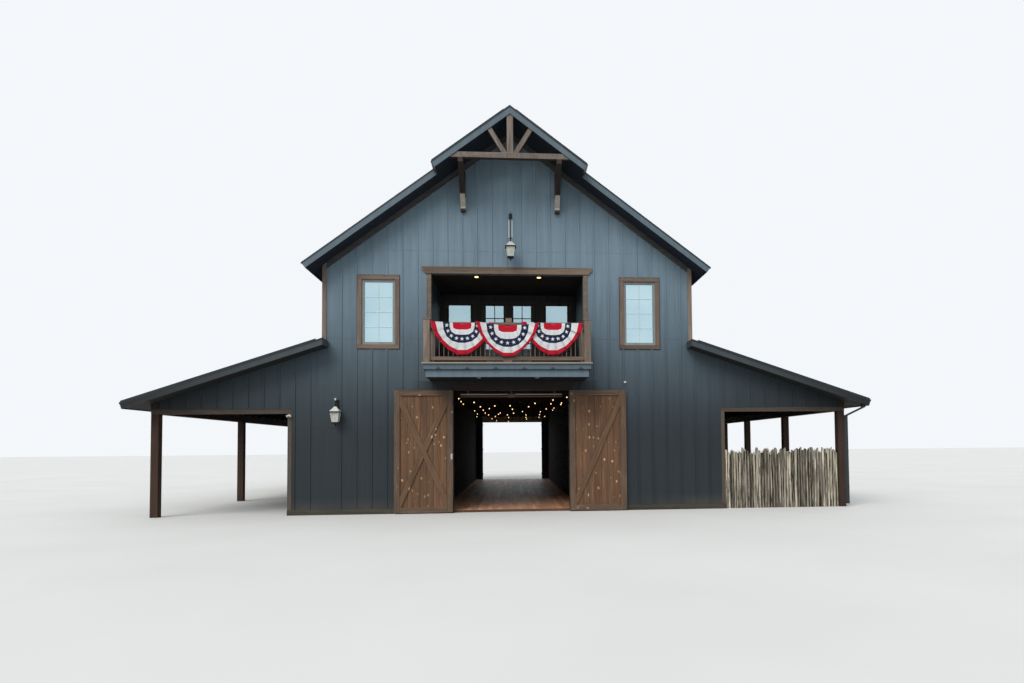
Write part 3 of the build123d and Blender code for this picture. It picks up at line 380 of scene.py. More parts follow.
def paint(name, base, roughness=0.55, relief=0.0025, axis="Z", fade=DUST, under=None,
          painted_light_by_height=None, painted_shade_by_reach=None, painted_balcony_shadow=False):
    """Satin paint over sawn boards, a little chalky, with the grain showing through.

    The tone carries painted light and shade: it may follow the height or the distance from the
    middle, and a painted shadow may darken the wall under the balcony.
    """
    shader = Shader(name, roughness, specular=0.35)
    plain = shader.place()
    grain = shader.noise(shader.scaled(plain, GRAIN_SCALES[axis]), 3.0, 5.0, 0.65, 0.4)
    runs = shader.noise(shader.scaled(plain, (8.0, 8.0, 0.5)), 1.0, 4.0, 0.6)
    clouds = shader.noise(plain, 0.45, 4.0, 0.55)
    colour = shader.shade(base, grain, 0.91, 1.09)
    colour = shader.shade(colour, runs, 0.86, 1.14)
    colour = shader.shade(colour, clouds, 0.92, 1.07)
    place = shader.separate(plain)
    # Painted light and shade: lighter up high, darker low down
    if painted_light_by_height:
        colour = shader.dim(colour, place[2], *painted_light_by_height, smooth=True)
    # Painted shade: darker out towards the ends
    if painted_shade_by_reach:
        colour = shader.dim(colour, shader.math("ABSOLUTE", place[0]), *painted_shade_by_reach)
    # Painted shadow on the wall under the balcony
    if painted_balcony_shadow:
        colour = shader.mix(balcony_shadow_mask(shader, place), colour, (14, 16, 18))
    # Painted shade: faces that look down take the under colour
    if under:
        colour = shader.mix(shader.downward(), colour, under)
    splash = shader.between(place[2], 0.0, 0.45, 0.35, 0.0)
    dusty = shader.times(splash, shader.between(clouds, 0.35, 0.6))
    rough = shader.between(grain, 0.3, 0.7, roughness - 0.08, roughness + 0.1)
    return shader.cover(shader.mix(dusty, colour, fade), grain, relief, Roughness=rough)


def roof_slab(name, soffit):
    """Coated sheet metal above; near-black boards with open joints below, their dark colour a
    painted shade.
    """
    shader = Shader(name, 0.45)
    plain = shader.place()
    above = shader.facing(0.05, 0.15)
    waves = shader.noise(plain, 1.6, 2.0)
    sheet = shader.shade((58, 62, 66), shader.noise(plain, 0.5, 5.0, 0.6), 0.85, 1.18)
    joint = shader.math("PINGPONG", shader.separate(plain)[1], BATTEN_PITCH / 6)
    gap = shader.between(joint, 0.0, 0.006, 1.0, 0.0)
    grain = shader.noise(shader.scaled(plain, GRAIN_SCALES["X"]), 3.0, 5.0, 0.65)
    # The soffit colour is near black: painted shade under the roof
    boards = shader.mix(gap, shader.shade(soffit, grain, 0.80, 1.18), (0.004, 0.004, 0.005, 1))
    height = shader.plus(shader.times(waves, above), shader.times(gap, -1.0))
    return shader.cover(shader.mix(above, boards, sheet), height, 0.006,
                        Roughness=shader.between(above, 0.0, 1.0, 0.75, 0.38),
                        Metallic=shader.between(above, 0.0, 1.0, 0.0, 0.6))


def metal(name, base, roughness=0.45, metallic=0.7, speckle=0.12):
    """Coated or bare metal with a fine uneven surface."""
    shader = Shader(name, roughness, metallic)
    plain = shader.place()
    fine = shader.noise(plain, 60.0, 3.0, 0.6)
    broad = shader.noise(plain, 4.0, 3.0, 0.6)
    colour = shader.shade(base, broad, 1 - speckle, 1 + speckle)
    rough = shader.between(broad, 0.3, 0.7, roughness - 0.08, roughness + 0.12)
    return shader.cover(shader.shade(colour, fine, 0.94, 1.06), fine, 0.0006, Roughness=rough)


def pane(name):
    """Coated window glass that mirrors most of the sky; its pale sky-blue tint, varying like
    clouds, is a painted sky reflection.
    """
    shader = Shader(name, 0.03, 0.72, 0.8)
    waves = shader.noise(shader.place(), 1.1, 2.0)
    # Painted sky reflection: a pale sky-blue tint that varies like clouds
    colour = shader.mix(shader.between(waves, 0.3, 0.7), (184, 216, 226), (200, 228, 236))
    sockets = {0: shader.node("NewGeometry")["Normal"], 1: (0.0, 0.0, -0.05)}
    leaning = shader.node("VectorMath", sockets, operation="ADD")[0]
    normal = shader.node("VectorMath", {0: leaning}, operation="NORMALIZE")[0]
    return shader.cover(colour, waves, 0.002, normal)


def frosted(name):
    """Milky lamp glass with faint seeds in it."""
    shader = Shader(name, 0.35, specular=0.6)
    plain = shader.place()
    seeds = shader.noise(plain, 90.0, 2.0)
    clouds = shader.between(shader.noise(plain, 9.0, 2.0), 0.3, 0.7)
    colour = shader.mix(clouds, (188, 186, 180), (214, 212, 206))
    return shader.cover(shader.shade(colour, seeds, 0.95, 1.04), seeds, 0.001)


def glow(name, colour, strength):
    """Lit bulb with a slightly uneven brightness."""
    shader = Shader(name, 0.3)
    tint = shader.shade(colour, shader.noise(shader.place(), 20.0, 2.0), 0.92, 1.05)
    return shader.cover(tint, **{"Emission Color": tint, "Emission Strength": strength})


def cloth(name, base):
    """Cotton with a fine plain weave, and painted shade in its creases."""
    shader = Shader(name, 0.9, specular=0.15)
    plain = shader.place()
    across = shader.separate(plain)
    weave = shader.times(*(shader.math("SINE", shader.times(across[k], 2600.0)) for k in (0, 2)))
    crumple = shader.noise(plain, 9.0, 4.0, 0.6)
    crease = shader.node("Attribute", attribute_name="crease")["Fac"]
    colour = shader.dim(shader.shade(base, crumple, 0.84, 1.06), crease, 0.0, 1.0, 1.0, 0.55)
    colour = shader.shade(colour, shader.noise(plain, 420.0, 1.0), 0.95, 1.05)
    height = shader.plus(shader.times(crumple, 6.0), shader.times(weave, 0.12))
    return shader.cover(colour, height, 0.0015, **{"Sheen Weight": 0.25})


def bark(name):
    """Weathered cedar stake: grey wood with strips of darker bark, and painted shade on the sides
    that face the gaps between stakes.
    """
    shader = Shader(name, 0.9, specular=0.2)
    plain = shader.shifted(shader.board_place(), 9.0)
    strips = shader.noise(shader.scaled(plain, (1.5, 38.0, 38.0)), 1.0, 5.0, 0.7, 0.2)
    flakes = shader.noise(shader.scaled(plain, (5.0, 60.0, 60.0)), 1.0, 4.0, 0.7)
    colour = shader.mix(shader.between(strips, 0.42, 0.54), (54, 49, 42), (206, 196, 177))
    # Painted shade: sides that face across, towards the neighbouring stakes, are darker
    normal = shader.separate(shader.node("NewGeometry")["Normal"])
    colour = shader.dim(colour, shader.math("ABSOLUTE", normal[0]), 0.40, 0.92, 1.0, 0.22)
    colour = shader.shade(colour, flakes, 0.72, 1.15)
    colour = shader.dim(colour, shader.island(), 0.0, 1.0, 0.45, 1.5)
    return shader.cover(colour, shader.plus(strips, shader.times(flakes, 0.5)), 0.010)


def bracket_wood(name):
    """Bracket timber with painted light and shade: dark in the painted shadow of the hood, a pale
    painted lit band above its dark foot, and painted shade on faces that look down.
    """
    shader = Shader(name, 0.75, specular=0.3)
    plain = shader.place()
    streaks = shader.noise(shader.scaled(plain, GRAIN_SCALES["Z"]), 1.3, 6.0, 0.65, 0.7)
    grain = shader.between(streaks, 0.25, 0.75)
    # Painted shade in the shadow of the hood, and a pale painted lit tone for the band below it
    hood_shade_tone = shader.mix(grain, (44, 36, 32), (72, 60, 53))
    pale = shader.mix(grain, (186, 176, 166), (228, 219, 210))
    up = shader.separate(plain)[2]
    # The painted lit band, from a little above the foot up to the hood's shadow
    lit_band = shader.times(
        shader.between(up, BRACKET_FOOT + 0.37, BRACKET_FOOT + 0.40, 1.0, 0.0),
        shader.between(up, BRACKET_FOOT + 0.06, BRACKET_FOOT + 0.10))
    # Painted shade on faces that look down, outside the lit band
    shaded = shader.times(shader.downward(), shader.math("SUBTRACT", 1.0, lit_band))
    colour = shader.mix(shaded, shader.mix(lit_band, hood_shade_tone, pale), (40, 33, 30))
    return shader.cover(colour, streaks, 0.004)


# Level boards: faces that look down take a near-black painted shade
LEVEL = {"axis": "X", "under": (15, 20, 22)}
TRIM = ((90, 76, 67), (141, 122, 107))
POST = ((45, 33, 27), (80, 58, 46))
# Painted light and shade on the siding: lighter up high, darker low down and out at the ends, with
# a painted shadow under the balcony
SIDING = paint("siding", (84, 100, 111), painted_light_by_height=(1.8, 7.4, 0.20, 2.05),
               painted_shade_by_reach=(5.4, 9.5, 1.0, 0.17), painted_balcony_shadow=True)
# Darker copies of the siding paint: painted shade inside the balcony's recess
RECESS_SHADE_PAINT = paint("recess_siding_shaded", (40, 49, 53))
RECESS_BACK_SHADE = paint("recess_back", (25, 28, 31))
FASCIA = paint("fascia", (92, 108, 119), 0.5, **LEVEL)
# Painted shade: darker towards the outer ends; its base is a darker copy of the fascia paint
PORCH_FASCIA = paint("porch_fascia", (62, 69, 72), 0.5, painted_shade_by_reach=(6.0, 9.7, 1.10, 0.12), **LEVEL)
# Painted light: the lower, set-back tier is lighter than the upper one
RIM_PAINT = paint("rim_paint", (90, 106, 117), 0.5, painted_light_by_height=(3.785, 3.800, 1.32, 0.96), **LEVEL)
HUMP_PAINT = paint("rim_plates", (52, 62, 68), **LEVEL)
# Dark strips round the window casings: a painted shadow line
CASING_SHADOW_PAINT = paint("casing_shadow_paint", (30, 35, 38), axis="X")
SASH = paint("sash", (140, 143, 143), 0.4, 0.0006)
BARS = paint("muntins", (216, 226, 228), 0.4, 0.0004, fade=(216, 226, 228))
TRIM_Z = wood("trim_upright", (98, 85, 76), (156, 139, 125), "Z", contrast=0.45)
TRIM_X = wood("trim_level", *TRIM, "X", contrast=0.45)
TRIM_BOARDS = wood("trim_boards", *TRIM, contrast=0.45)
JAMB_WOOD = wood("jamb_wood", (74, 64, 56), (110, 97, 84), "Z", contrast=0.45)
SHADED_WOOD = wood("shaded_wood", (30, 25, 23), (54, 45, 41), "X", boards=0.12)
# A dark wood for the rake friezes: painted shade under the soffits
SHADED_FRIEZE_WOOD = wood("shaded_frieze_wood", (60, 59, 62), (96, 93, 95), "X", boards=0.12)
BASE_WOOD = wood("base_wood", (54, 51, 43), (84, 80, 69), "X")
POST_WOOD = wood("post_wood", *POST, "Z", boards=0.12)
# Painted shade on the faces of the end beams that look down
BEAM_WOOD = wood("beam_wood", (64, 54, 48), (100, 86, 76), "X", boards=0.1, under=(36, 31, 28))
BEAM_WOOD_Y = wood("beam_wood_long", *POST, "Y", boards=0.1)
OLD_WOOD = wood("weathered_wood", (92, 82, 74), (146, 134, 123))
# Painted shade on the faces of the truss that look down
TRUSS_WOOD = wood("truss_wood", (102, 90, 81), (152, 140, 131), "Z", under=(58, 47, 42))
BRACKET_WOOD = bracket_wood("bracket_wood")
DOOR_WOOD = wood("door_planks", (80, 57, 43), (136, 102, 76), contrast=0.42, boards=0.13,
                 knots=(212, 182, 140), knot_share=0.80)
DOOR_FRAME_WOOD = wood("door_frames", (76, 60, 49), (120, 99, 82), contrast=0.45, boards=0.12,
                       knots=(196, 168, 132))
BRACE_WOOD = wood("door_braces", (86, 64, 49), (140, 108, 82), contrast=0.45, boards=0.1,
                  knots=(200, 168, 128))
FLOOR_BASE = wood("floor_base", (78, 54, 42), (120, 88, 68), "Y")
FLOOR_WOOD = wood("floor_boards", (158, 110, 80), (238, 184, 142), roughness=0.5, boards=0.22,
                  specular=0.18)
# Very dark boards for the recess ceiling and the corridor walls: painted shade inside
SHADED_INNER_WOOD = wood("shaded_inner_boards", (28, 23, 21), (54, 46, 41), boards=0.22)
SHADED_CORRIDOR_WOOD = wood("corridor_boards", (22, 15, 13), (46, 33, 28), roughness=0.9, boards=0.22,
                     specular=0.04)
# Near-black wood for the rafters under the porch roofs: painted shade
SHADED_SOFFIT_WOOD = wood("shaded_soffit_wood", (10, 10, 10), (24, 22, 21), roughness=0.9, specular=0.1)
CEILING_WOOD = wood("ceiling_boards", (44, 32, 27), (86, 63, 52), boards=0.22)
DECK_WOOD = wood("deck_boards", (112, 88, 70), (168, 140, 114), contrast=0.45)
# Very pale wood for the header over the rear doorway: painted light, so it reads lit inside the
# dark corridor
PAINTED_LIGHT_WOOD = wood("painted_light_wood", (206, 192, 174), (244, 232, 216), contrast=0.45)
JOINERY = wood("joinery", (40, 37, 36), (70, 65, 61), "Z", roughness=0.6)
# Near-black soffit colours under the roofs: painted shade
ROOF_MAIN = roof_slab("main_roofing", (20, 30, 42))
ROOF_PORCH = roof_slab("porch_roofing", (22, 23, 24))
ROOF_METAL = metal("roof_metal", (60, 65, 69), 0.38, 0.6)
DRIP_METAL = metal("drip_metal", (44, 52, 58), 0.4, 0.5)
DECK_EDGE = metal("deck_edge", (150, 148, 140), 0.5, 0.3)
IRON = metal("iron", (38, 38, 39), 0.5, 0.8)
WHITE_METAL = metal("white_metal", (228, 228, 222), 0.45, 0.1, 0.04)
GREY_METAL = metal("grey_metal", (150, 150, 145), 0.5, 0.1, 0.06)
PALE_METAL = metal("pale_metal", (206, 206, 202), 0.45, 0.1, 0.06)
SPOUT_METAL = metal("spout_metal", (50, 58, 61), 0.5, 0.3)
TRACK_LIGHT = metal("track_light", (168, 150, 134), 0.5, 0.2)
TRACK_DARK = metal("track_dark", (84, 72, 63), 0.5, 0.3)
GLASS = pane("window_glass")
LAMP_GLASS = frosted("lamp_glass")
BULB = glow("bulb", (255, 208, 150), 2.6)
DOWNLIGHT = glow("downlight", (255, 226, 150), 2.4)
CLOTHS = [cloth("red_cloth", (200, 22, 48)), cloth("white_cloth", (236, 236, 238)),
          cloth("navy_cloth", (32, 42, 74))]
BARK = bark("stake_bark")


# Mesh building


def ring(centre, first, second, radius, sides, turn=0.0):
    """Points round a centre, in the plane of two directions."""
    angles = [2 * math.pi * n / sides + turn for n in range(sides)]
    return [centre + (first * math.cos(angle) + second * math.sin(angle)) * radius
            for angle in angles]


def soften(item, width):
    """Rounds the sharp edges of a piece a little."""
    modifier = item.modifiers.new("edges", "BEVEL")
    modifier.width = width
    modifier.segments = 1
    modifier.limit_method = "ANGLE"
    modifier.angle_limit = math.radians(35)


def register(item, body="building", instead=None):
    """Lets a piece ride on a body, maybe instead of a CAD node."""
    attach(item, body)
    if instead:
        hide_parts(instead)


class Piece:
    """Gathers closed solids into one mesh, and keeps the grain direction of each of them."""

    def __init__(self):
        self.points, self.faces, self.grain, self.finishes = [], [], [], []

    def loft(self, rings, along, finish=0):
        """Adds a closed solid, skinned over rings of points, whose grain runs along a direction."""
        first = Vector(along).normalized()
        second = first.orthogonal().normalized()
        third = first.cross(second)
        offset = Vector([random.uniform(0, 40) for _ in range(3)])
        start, count = len(self.points), len(rings[0])
        for point in [Vector(point) for row in rings for point in row]:
            self.points.append(point)
            own = Vector((point.dot(first), point.dot(second), point.dot(third)))
            self.grain.append(own + offset)
        end = len(self.points) - count
        faces = [list(range(start, start + count))[::-1], list(range(end, end + count))]
        for low in range(start, end, count):
            faces += [(low + n, low + (n + 1) % count, low + count + (n + 1) % count,
                       low + count + n) for n in range(count)]
        self.faces += faces
        self.finishes += [finish] * len(faces)

    def prism(self, outline, sweep, along=None, finish=0):
        """Adds a flat outline swept along a vector."""
        sweep = Vector(sweep)
        lower = [Vector(point) for point in outline]
        self.loft([lower, [point + sweep for point in lower]], along or sweep, finish)

    def box(self, corner, opposite, along=None, finish=0):
        """Adds a box between two corners, with its grain along its longest side."""
        low, high = ([pick(pair) for pair in zip(corner, opposite)] for pick in (min, max))
        size = [high[i] - low[i] for i in range(3)]
        along = along or [i == size.index(max(size)) for i in range(3)]
        (x0, y0, z0), (x1, y1, z1) = low, high
        self.prism([(x0, y0, z0), (x1, y0, z0), (x1, y1, z0), (x0, y1, z0)], (0, 0, z1 - z0),
                   along, finish)

    def lathe(self, profile, centre, sides=16, axis=UP, turn=0.0):
        """Adds a closed turned solid from (radius, distance along the axis) pairs."""
        axis = Vector(axis).normalized()
        first = Vector(ACROSS if abs(axis.x) < 0.9 else INWARD)
        first = (first - axis * first.dot(axis)).normalized()
        self.loft([ring(Vector(centre) + axis * distance, first, axis.cross(first), radius, sides,
                        turn) for radius, distance in profile], axis)

    def tube(self, path, radius, sides=8):
        """Adds a round bar along a list of points."""
        path = [Vector(point) for point in path]
        rings = []
        side = None
        for n, point in enumerate(path):
            ahead = (path[min(n + 1, len(path) - 1)] - path[max(n - 1, 0)]).normalized()
            side = side or ahead.orthogonal().normalized()
            side = (side - ahead * side.dot(ahead)).normalized()
            rings.append(ring(point, side, ahead.cross(side), radius, sides))
        self.loft(rings, path[-1] - path[0])

    def make(self, name, slot, *finishes, body="building", bevel=0.0, smooth=False, instead=None):
        """Turns the solids into an object that rides on a body, maybe instead of a CAD node."""
        item = add_mesh(name, self.points, self.faces, finishes, self.finishes)
        mesh = item.data
        grain = mesh.attributes.new("grain", "FLOAT_VECTOR", "POINT")
        grain.data.foreach_set("vector", [value for point in self.grain for value in point])
        shape = bmesh.new()
        shape.from_mesh(mesh)
        bmesh.ops.recalc_face_normals(shape, faces=shape.faces)
        shape.to_mesh(mesh)
        shape.free()
        if smooth:
            mesh.polygons.foreach_set("use_smooth", [True] * len(mesh.polygons))
            mesh.set_sharp_from_angle(angle=math.radians(40))
        if bevel:
            soften(item, bevel)
        register(item, body, instead)
        return item


def pieces(count):
    """Empty pieces to fill."""
    return [Piece() for _ in range(count)]


def steps(start, end, pitch):
    """Places from start up to end, one pitch apart."""
    while start < end:
        yield start
        start += pitch


# Finishes and softened edges of the CAD nodes


for material, nodes in (
        (SIDING, "front_lower_walls front_upper_walls front_wall_over_door gable_walls "
                 "rear_lower_walls rear_upper_wall side_walls porch_wing_walls porch_end_gables"),
        (RECESS_SHADE_PAINT, "recess_side_walls"), (RECESS_BACK_SHADE, "recess_back_wall"),
        (TRIM_Z, "corner_boards balcony_newels"), (TRIM_X, "balcony_surround balcony_railings"),
        (BASE_WOOD, "base_boards"), (JAMB_WOOD, "porch_jamb_posts"),
        (SHADED_FRIEZE_WOOD, "rake_friezes"), (SHADED_WOOD, "door_headers"),
        (POST_WOOD, "porch_posts"), (BEAM_WOOD, "porch_end_beams"),
        (BEAM_WOOD_Y, "porch_side_beams"), (TRUSS_WOOD, "hood_truss"),
        (BRACKET_WOOD, "hood_brackets"), (ROOF_MAIN, "main_roof_right main_roof_left"),
        (ROOF_PORCH, "porch_roofs"), (ROOF_METAL, "ridge_cap"),
        (FASCIA, "main_fascia_right main_fascia_left"), (PORCH_FASCIA, "porch_fascias"),
        (RIM_PAINT, "balcony_rim"), (SASH, "window_sashes"), (GLASS, "window_panes"),
        (JOINERY, "recess_doors_and_windows"), (SHADED_INNER_WOOD, "recess_ceiling"),
        (SHADED_CORRIDOR_WOOD, "corridor_walls"), (CEILING_WOOD, "upper_floor"),
        (FLOOR_BASE, "ground_floor"), (SPOUT_METAL, "downspout"), (LAMP_GLASS, "lantern_glass"),
        (IRON, "lantern_frames right_door_straps left_door_straps door_pintles "
               "rear_door_straps")):
    for node in nodes.split():
        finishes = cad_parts[node].data.materials
        finishes.clear()
        finishes.append(material)
for width, nodes in (
        (0.006, "porch_end_beams balcony_newels balcony_surround hood_truss hood_brackets"),
        (0.003, "porch_jamb_posts corner_boards door_headers base_boards balcony_railings "
                "balcony_rim window_sashes")):
    for node in nodes.split():
        soften(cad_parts[node], width)


# Roof heights, and walls as (across, out, up) coordinates seen from outside


def main_top(x):
    return RIDGE - MAIN_SLOPE * abs(x)


def main_soffit(x):
    return main_top(x) - ROOF_THICKNESS * math.hypot(1, MAIN_SLOPE)


def frieze_bottom(x):
    return main_soffit(x) - FRIEZE_WIDTH * math.hypot(1, MAIN_SLOPE)


def porch_top(x):
    return PORCH_TOP - PORCH_SLOPE * (abs(x) - HALF)


def porch_soffit(x):
    return porch_top(x) - ROOF_THICKNESS * math.hypot(1, PORCH_SLOPE)


def on_front(u, out, z):
    return Vector((u, FRONT - out, z))


def on_rear(u, out, z):
    return Vector((-u, REAR + out, z))


def on_right(u, out, z):
    return Vector((HALF + out, u, z))


def on_left(u, out, z):
    return Vector((-HALF - out, -u, z))


def wall_box(piece, place, across, out, up):
    """Box on a wall between two places across, out of and up the wall."""
    piece.box(*(place(*spot) for spot in zip(across, out, up)))


SIDE_WINDOW_Y = [FRONT + (REAR - FRONT) * (n + 0.5) / SIDE_WINDOWS for n in range(SIDE_WINDOWS)]
WINDOWS = [(place, u, sill) for place, places, sill in (
    (on_front, (-FRONT_WINDOW_X, FRONT_WINDOW_X), WINDOW_SILL),
    (on_rear, (-FRONT_WINDOW_X, -REAR_MIDDLE_WINDOW_X, REAR_MIDDLE_WINDOW_X, FRONT_WINDOW_X),
     WINDOW_SILL),
    (on_right, SIDE_WINDOW_Y, SIDE_WINDOW_SILL),
    (on_left, [-y for y in SIDE_WINDOW_Y], SIDE_WINDOW_SILL)) for u in places]

# Rectangles that interrupt the battens: (left, right, bottom, top)
DOORWAY_HOLES = [(-DOORWAY_HALF, DOORWAY_HALF, 0.0, DOOR_HEAD),
                 (HEADER_LOW.x, HEADER_HIGH.x, DOOR_HEAD, HEADER_HIGH.z)]
BALCONY_HOLES = [(RIM_LOW.x, RIM_HIGH.x, RIM_LOW.z, DECK_HIGH.z),
                 (DECK_LOW.x, DECK_HIGH.x, DECK_LOW.z, DECK_HIGH.z),
                 (BALCONY_X - BALCONY_OPENING_HALF - 0.12, BALCONY_X + BALCONY_OPENING_HALF + 0.12,
                  DECK_HIGH.z, SURROUND_HIGH.z),
                 (SURROUND_LOW.x, SURROUND_HIGH.x, RECESS_CEILING, SURROUND_HIGH.z)]


def window_holes(place):
    """Rectangles that the casings cover on one wall."""
    half = WINDOW_WIDTH / 2
    return [(u - half, u + half, sill, sill + WINDOW_HEIGHT)
            for wall, u, sill in WINDOWS if wall is place]


# Battens, panel seams, posts and the ends of the siding


def open_stretches(low, high, blocked):
    """Parts of the stretch from low to high that no blocked stretch covers."""
    stretches = []
    for start, end in sorted(blocked) + [(high, high)]:
        stretches.append((low, min(start, high)))
        low = max(low, end)
    return [(a, b) for a, b in stretches if b - a > SHORTEST_STRETCH]


def batten(piece, place, u, low, high, slant=0.0):
    """One batten with eased front edges; its top follows the slope when it meets a soffit."""
    half = BATTEN_WIDTH / 2
    section = [(-half, 0.0), (-half, BATTEN_DEPTH - BATTEN_EASE),
               (-half + BATTEN_EASE, BATTEN_DEPTH), (half - BATTEN_EASE, BATTEN_DEPTH),
               (half, BATTEN_DEPTH - BATTEN_EASE), (half, 0.0)]
    piece.loft([[place(u + a, out, low) for a, out in section],
                [place(u + a, out, high + slant * a) for a, out in section]], UP)


def batten_places(low, high, start=BATTEN_START):
    """Places of the battens between two ends of a wall."""
    first = math.ceil((low - start) / BATTEN_PITCH)
    last = math.floor((high - start) / BATTEN_PITCH)
    return [start + n * BATTEN_PITCH for n in range(first, last + 1)]


def cover(piece, place, ends, low_z, top, holes=(), start=BATTEN_START):
    """Battens over a wall from low_z up to top(u), leaving out the holes."""
    half = BATTEN_WIDTH / 2
    for u in batten_places(min(ends) + half, max(ends) - half, start):
        blocked = [(z0, z1) for u0, u1, z0, z1 in holes if u0 - half < u < u1 + half]
        limit = top(u)
        slant = (top(u + half) - top(u - half)) / BATTEN_WIDTH
        for a, b in open_stretches(low_z, limit, blocked):
            batten(piece, place, u, a, b, slant if b == limit else 0.0)


def seams(piece, place, ends, low_z, top, holes=()):
    """Flashing strips where one row of panels stands on the next."""
    step = 0.02
    low, high = min(ends), max(ends)
    for z in steps(SEAM_FIRST, RIDGE, SEAM_PITCH):
        inside = [u for u in (low + step * n for n in range(int((high - low) / step) + 1))
                  if z > low_z and top(u) > z + step]
        if inside:
            blocked = [(u0, u1) for u0, u1, z0, z1 in holes if z0 < z + 0.01 and z1 > z]
            for stretch in open_stretches(min(inside), max(inside), blocked):
                wall_box(piece, place, stretch, (0.0, SEAM_DEPTH), (z, z + SEAM_HEIGHT))


def siding_battens():
    """Battens and panel seams of all the walls."""
    corner = HALF - CORNER_BOARD
    front, rear, sides = walls = [pieces(2) for _ in range(3)]
    for place, (battens, strips), holes in ((on_front, front, BALCONY_HOLES),
                                            (on_rear, rear, [])):
        holes = holes + window_holes(place) + DOORWAY_HOLES
        cover(battens, place, (-corner, corner), BASE_TOP, frieze_bottom, holes)
        seams(strips, place, (-corner, corner), BASE_TOP, frieze_bottom, holes)
        for side in SIDES:
            wing = (side * HALF, side * JAMB_INNER)
            cover(battens, place, wing, BASE_TOP, porch_soffit)
            seams(strips, place, wing, BASE_TOP, porch_soffit)
            over_beam = (side * JAMB_INNER, side * (PORCH_HALF - END_BOARD))
            cover(battens, place, over_beam, BEAM_TOP, porch_soffit)
    battens, strips = sides
    for place, low, high in ((on_right, FRONT, REAR), (on_left, -REAR, -FRONT)):
        holes = window_holes(place)
        cover(battens, place, (low + 0.02, high - 0.02), 0.0, lambda u: porch_soffit(HALF), holes,
              0.0)
        cover(battens, place, (low + 0.1, high - 0.1), PORCH_TOP, lambda u: main_soffit(HALF), [],
              0.0)
        seams(strips, place, (low + 0.15, high - 0.15), 0.0, lambda u: porch_soffit(HALF), holes)
    for index, kind in enumerate(("battens", "seams")):
        for wall, pair in zip(("front", "rear", "sides"), walls):
            pair[index].make(f"{kind}_{wall}", "siding", SIDING)


def porch_ends():
    """Posts of one size, feet of the siding over the end beams, and boards at its outer ends."""
    posts, feet, boards = pieces(3)
    half, foot_depth, board_depth = POST_SIZE / 2, 0.006, 0.022
    inner = PORCH_HALF - END_BOARD
    for side, places in POST_PLACES.items():
        for x, inset in [(PORCH_HALF - half, half)] + [(POST_X, place) for place in places]:
            for y in (FRONT + inset, REAR - inset):
                posts.box((side * x - half, y - half, 0), (side * x + half, y + half, POST_TOP))
    posts.make("porch_post_timbers", "timber", POST_WOOD, bevel=0.006, instead="porch_posts")
    for side in SIDES:
        for place in (on_front, on_rear):
            wall_box(feet, place, (side * JAMB_INNER, side * PORCH_HALF), (0.0, foot_depth),
                     (BEAM_TOP - BEAM_OVERHANG, BEAM_TOP))
    feet.make("porch_beam_covers", "siding", SIDING, bevel=0.002)
    for side in SIDES:
        for y, out in ((FRONT, -board_depth), (REAR, board_depth)):
            boards.prism([(side * x, y, z) for x, z in (
                (inner, BEAM_TOP), (PORCH_HALF, BEAM_TOP), (PORCH_HALF, porch_soffit(PORCH_HALF)),
                (inner, porch_soffit(inner)))], (0, out, 0), along=UP)
    boards.make("porch_end_boards", "trim", SHADED_WOOD, bevel=0.003)


siding_battens()
porch_ends()


# Window casings with their joints, and the bars in the sashes


def casing(piece, place, u, sill, width, height, board, depth):
    """Four boards round a window: the level ones run over the upright ones."""
    half = width / 2
    gap = 0.0015
    low, high = sill + board, sill + height - board
    for up in ((sill, low - gap), (high + gap, sill + height)):
        wall_box(piece, place, (u - half, u + half), (0.0, depth), up)
    for side in SIDES:
        wall_box(piece, place, (u + side * half, u + side * (half - board)), (0.0, depth),
                 (low, high))


def bars(piece, place, u, sill, width, height, columns, rows, bar, out):
    """Grid of muntins over a pane."""
    half = bar / 2
    for n in range(1, columns):
        middle = u - width / 2 + width * n / columns
        wall_box(piece, place, (middle - half, middle + half), out, (sill, sill + height))
    for n in range(1, rows):
        middle = sill + height * n / rows
        wall_box(piece, place, (u - width / 2, u + width / 2), out, (middle - half, middle + half))


def window_dressing():
    """Casings, dark strips round them as a painted shadow line, muntins and glazing beads of the
    twelve windows.
    """
    casings, joints, grids, beads = pieces(4)
    joint, bead, muntin = 0.014, 0.014, 0.015
    border = CASING_WIDTH + SASH_WIDTH
    glass = (WINDOW_WIDTH - 2 * border, WINDOW_HEIGHT - 2 * border)
    for place, u, sill in WINDOWS:
        casing(casings, place, u, sill, WINDOW_WIDTH, WINDOW_HEIGHT, CASING_WIDTH,
               CASING_DEPTH)
        # Painted shadow line: a dark strip just outside each casing
        casing(joints, place, u, sill - joint, WINDOW_WIDTH + 2 * joint, WINDOW_HEIGHT + 2 * joint,
               2 * joint, 0.010)
        bars(grids, place, u, sill + border, *glass, 2, 4, muntin,
             (-PANE_SETBACK, -PANE_SETBACK + bead))
        casing(beads, lambda a, out, z, p=place: p(a, out - PANE_SETBACK, z), u, sill + border,
               *glass, bead, 0.012)
    casings.make("window_casing_boards", "trim", TRIM_BOARDS, bevel=0.003,
                 instead="window_casings")
    joints.make("window_casing_shadows", "trim", CASING_SHADOW_PAINT)
    grids.make("window_muntins", "sash", BARS, bevel=0.003)
    beads.make("window_beads", "sash", SASH)


window_dressing()


# Roof covering


def slope_strip(piece, side, top, xs, ys, lift, depth):
    """Strip along a slope between two places, with its top lifted above the roof."""
    low = lift - depth
    outline = [(xs[0], lift), (xs[1], lift), (xs[1], low), (xs[0], low)]
    piece.prism([(side * x, ys[0], top(x) + rise) for x, rise in outline],
                (0, ys[1] - ys[0], 0), along=ACROSS)


def seam_rib(piece, side, top, xs, y):
    """Standing seam: a thin web with a folded cap."""
    for width, lift, depth in ((0.008, 0.036, 0.036), (0.022, 0.042, 0.009)):
        slope_strip(piece, side, top, xs, (y - width / 2, y + width / 2), lift, depth)


